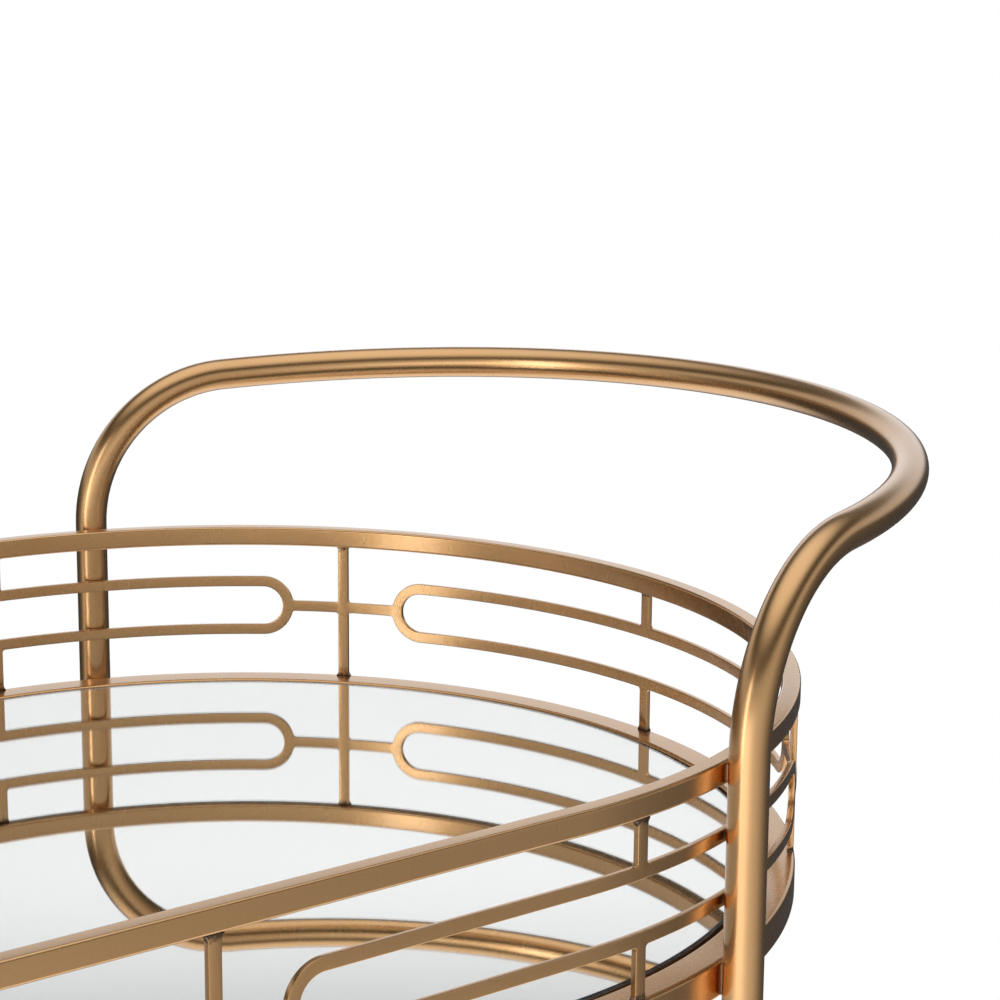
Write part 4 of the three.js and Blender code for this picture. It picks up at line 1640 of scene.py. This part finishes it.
        bush = turned("foot_bush", self.bush, self.home)
        stem = self.stem()
        cups = turned("swivel_cups", self.bearing, self.home)
        axle = turned("axle_rivet", both_ways(self.axle_end), at_axle, ACROSS)
        hub = turned("wheel_centre", self.hub, at_axle, ACROSS, self.hub_rounding)
        tyre = turned("tread", self.tyre, at_axle, ACROSS, self.tyre_rounding)
        every = [
            Part(bush, STEEL, zinc, "leg_bush"),
            Part(stem, STEEL, zinc, "caster_stem"),
            Part(cups, STEEL, zinc, "caster_bearing", "swivel"),
            Part(axle, STEEL, zinc, "caster_axle", "swivel"),
            Part(hub, PLASTIC, plastic, "wheel_hub", "wheel"),
            Part(tyre, "tread_rubber", palette.rubber, "tyre", "wheel"),
        ]
        for corner in Corner:
            for part in every:
                self.dress(part, self.placed(part.obj, Corner.FRONT_RIGHT, corner), corner)
        plain_fork = Part(self.fork(braked=False), CHAMPAGNE, palette.plated, "caster_fork", "swivel")
        for corner in (Corner.FRONT_RIGHT, Corner.REAR_RIGHT):
            self.dress(plain_fork, self.placed(plain_fork.obj, Corner.FRONT_RIGHT, corner), corner)
        braked_fork = self.fork(braked=True)
        pin_section = both_ways(self.brake_pin_end)
        rivet = self.turned_piece("front_left_brake_rivet", pin_section, at_pin, ACROSS)
        braked = [
            Part(braked_fork, CHAMPAGNE, palette.plated, "caster_fork", "swivel"),
            Part(rivet, STEEL, zinc, "brake_pin", "swivel"),
            Part(self.lever(), PLASTIC, plastic, "brake_lever", "brake"),
        ]
        for part in braked:
            shift(part.obj, self.way_to(Corner.FRONT_LEFT, Corner.FRONT_RIGHT))
            rear = self.placed(part.obj, Corner.FRONT_LEFT, Corner.REAR_LEFT)
            self.dress(part, part.obj, Corner.FRONT_LEFT)
            self.dress(part, rear, Corner.REAR_LEFT)

    def way_to(self, corner: Corner, start: Corner) -> Vector:
        """How far a corner is from another one."""
        signs = Vector(corner.value) - Vector(start.value)
        return Vector((signs.x * self.leg[0], signs.y * self.leg[1], 0))

    def placed(self, obj: bpy.types.Object, home: Corner, corner: Corner) -> bpy.types.Object:
        """A piece itself at its own corner, or a copy of it at another one.

        Args:
            obj: The piece.
            home: The corner that it stands at.
            corner: The corner that needs it.

        Returns:
            The piece or the copy.
        """
        if corner is home:
            return obj
        return copied(obj, obj.name.replace(home.label, corner.label), self.way_to(corner, home))

    @staticmethod
    def dress(part: Part, obj: bpy.types.Object, corner: Corner) -> None:
        """Hands over a part's piece, or a copy of it.

        Args:
            part: The part.
            obj: Its piece at the corner.
            corner: The corner.
        """
        rides = f"{corner.label}_{part.body}" if part.body else FRAME_BODY
        hand_over(obj, rides, part.slot, part.material, f"{corner.label}_{part.node}")


# ---- Studio ------------------------------------------------------------------------------------------


@dataclass
class Studio:
    """Floor, backdrop, soft lights and the camera."""

    camera_place: Place = (-0.33135, -0.7387, 1.0073)
    yaw: float = 0.66767
    pitch: float = -0.21373
    roll: float = 0.00826
    lens: float = 93.85
    panels: tuple[tuple[tuple[float, float], float, float], ...] = (
        ((-0.95, -0.32), 11.0, 1.4),
        ((-0.23, -0.973), 4.0, 0.6),
    )
    side_light: float = 0.06
    backdrop_power: float = 9.0
    backdrop_drop: float = 0.12
    backdrop_gain: float = 0.45
    tent_light: float = 0.55
    tent_start: float = 0.04
    tent_blend: float = 0.16
    roof_heights: tuple[float, float] = (0.34, 0.48)
    roof_loss: float = 0.9
    zenith_heights: tuple[float, float] = (0.6, 0.95)
    zenith_light: float = 1.0
    floor_glow: float = 0.5
    floor_reach: float = 1.9
    floor_rounding: float = 1.85
    floor_fade: tuple[float, float] = (0.8, 1.7)
    white: Colour = (1.0, 1.0, 1.0)
    paper: Colour = (0.9, 0.9, 0.9)
    paper_cloud: Colour = (0.88, 0.88, 0.88)
    paper_roughness: float = 0.9
    sensor: float = 36.0
    nearest: float = 0.05
    softboxes: tuple[tuple[str, Place, Place, tuple[float, float], float, bool], ...] = (
        ("overhead_softbox", (0.2, 0.3, 2.8), (0.0, 0.0, 0.6), (2.0, 2.0), 9, False),
        ("left_softbox", (-1.6, -0.3, 0.9), (0.2, -0.15, 0.8), (0.42, 1.4), 4, True),
    )

    def floor(self) -> None:
        """Pale round floor that fades out into the backdrop."""
        work = Workpiece("studio_floor")
        corners = rectangle(ORIGIN, self.floor_reach, self.floor_reach)
        work.face(corners)
        work.round_corners(corners, self.floor_rounding, 24)
        obj = work.finish()
        material, graph, shader = Finish("studio_paper").start()
        grain = Finish.effect(graph, SharedEffects.fine_grain(), Scale=300.0, Drawing=1.0, Cloud=3.0)
        away = graph.add("VectorMath", operation="LENGTH")
        graph.join(graph.place(), away.inputs[0])
        finish = {
            "Base Color": graph.tint(grain.outputs["Cloud"], self.paper, self.paper_cloud),
            "Roughness": self.paper_roughness,
            "Emission Color": self.white,
            "Emission Strength": self.floor_glow,
            "Alpha": graph.ramp(away.outputs["Value"], *self.floor_fade, 1.0, 0.0),
        }
        graph.feed(shader, finish)
        obj.data.materials.append(material)

    def air(self) -> None:
        """Pale backdrop, and the light tent that the cart reflects. The tent is dim near the floor but for a
        bright panel to the left and a fainter one behind the camera. It is pale above the horizon, most of
        all toward the backdrop, with a dim ring over that and a soft glow straight above."""
        world = bpy.data.worlds.new("studio_air")
        world.use_nodes = True
        bpy.context.scene.world = world
        graph = Graph(world.node_tree)
        background = world.node_tree.nodes["Background"]
        ray = graph.add("TexCoord").outputs["Generated"]
        upward = graph.upward(ray)
        level = graph.add("VectorMath", operation="MULTIPLY")
        graph.join(ray, level.inputs[0])
        level.inputs[1].default_value = (1.0, 1.0, 0.0)
        unit = graph.add("VectorMath", operation="NORMALIZE")
        graph.join(level.outputs[0], unit.inputs[0])

        def lobe(way: tuple[float, float], power: float) -> bpy.types.NodeSocket:
            """Light that falls off round the horizon from one direction."""
            facing = graph.add("VectorMath", operation="DOT_PRODUCT")
            graph.join(unit.outputs[0], facing.inputs[0])
            facing.inputs[1].default_value = (*way, 0.0)
            half = graph.math("MULTIPLY", graph.math("ADD", facing.outputs["Value"], 1.0), 0.5)
            return graph.math("POWER", half, power)

        sides: bpy.types.NodeSocket | float = self.side_light
        for way, power, light in self.panels:
            sides = graph.math("ADD", graph.math("MULTIPLY", lobe(way, power), light), sides)
        backdrop_way = (math.sin(self.yaw), math.cos(self.yaw))
        behind = lobe(backdrop_way, self.backdrop_power)
        start = graph.math("SUBTRACT", self.tent_start, graph.math("MULTIPLY", behind, self.backdrop_drop))
        rise = graph.ramp(graph.math("SUBTRACT", upward, start), 0.0, self.tent_blend)
        roof = graph.ramp(upward, *self.roof_heights)
        bright = graph.math("ADD", self.tent_light, graph.math("MULTIPLY", behind, self.backdrop_gain))
        left_over = graph.math("SUBTRACT", 1.0, graph.math("MULTIPLY", roof, self.roof_loss))
        zenith = graph.ramp(upward, *self.zenith_heights, 0.0, self.zenith_light)
        tent = graph.math("ADD", graph.math("MULTIPLY", bright, left_over), zenith)
        above = graph.math("SUBTRACT", tent, sides)
        reflected = graph.math("ADD", sides, graph.math("MULTIPLY", rise, above))
        seen = graph.add("LightPath").outputs["Is Camera Ray"]
        plain = graph.math("MULTIPLY", seen, graph.math("SUBTRACT", 1.0, reflected))
        graph.feed(background, {"Color": self.white, "Strength": graph.math("ADD", reflected, plain)})

    @staticmethod
    def light(
        name: str, place: Place, target: Place, size: tuple[float, float], watts: float, mirrored: bool
    ) -> None:
        """Adds a soft rectangular light.

        Args:
            name: Its name.
            place: Where it stands.
            target: What it faces.
            size: Its width and height.
            watts: Its power.
            mirrored: Whether it shows in reflections.
        """
        bpy.ops.object.light_add(type="AREA", location=place)
        lamp = bpy.context.object
        lamp.name = name
        lamp.data.shape = "RECTANGLE"
        lamp.data.size, lamp.data.size_y = size
        lamp.data.energy = watts
        lamp.visible_glossy = lamp.visible_transmission = mirrored
        lamp.rotation_euler = (Vector(target) - Vector(place)).to_track_quat("-Z", "Y").to_euler()

    def camera(self) -> None:
        """Adds the camera."""
        level = math.cos(self.pitch)
        ahead = Vector((math.sin(self.yaw) * level, math.cos(self.yaw) * level, math.sin(self.pitch)))
        bpy.ops.object.camera_add(location=self.camera_place)
        camera = bpy.context.object
        turn = ahead.to_track_quat("-Z", "Y").to_matrix()
        aside, upright = turn.col[0].copy(), turn.col[1].copy()
        right = aside * math.cos(self.roll) + upright * math.sin(self.roll)
        above = upright * math.cos(self.roll) - aside * math.sin(self.roll)
        for row in range(3):
            turn[row][0], turn[row][1] = right[row], above[row]
        camera.rotation_euler = turn.to_euler()
        camera.data.lens = self.lens
        camera.data.sensor_width = self.sensor
        camera.data.clip_start = self.nearest
        bpy.context.scene.camera = camera

    def build(self) -> None:
        """Sets the studio up."""
        self.floor()
        self.air()
        for softbox in self.softboxes:
            self.light(*softbox)
        bpy.context.scene.view_settings.view_transform = "Standard"
        self.camera()


def main() -> None:
    """Builds the cart and its studio, and reports each piece."""
    logging.basicConfig(level=logging.INFO, format="%(message)s")
    oval, heights = Oval(), Heights()
    palette = Palette(weld_heights=heights.welds)
    Tier(oval, heights).build(palette)
    end_frame = EndFrame(oval, heights)
    end_frame.build(palette)
    Caster(end_frame.leg, heights).build(palette)
    Studio().build()


if __name__ == "__main__":
    main()
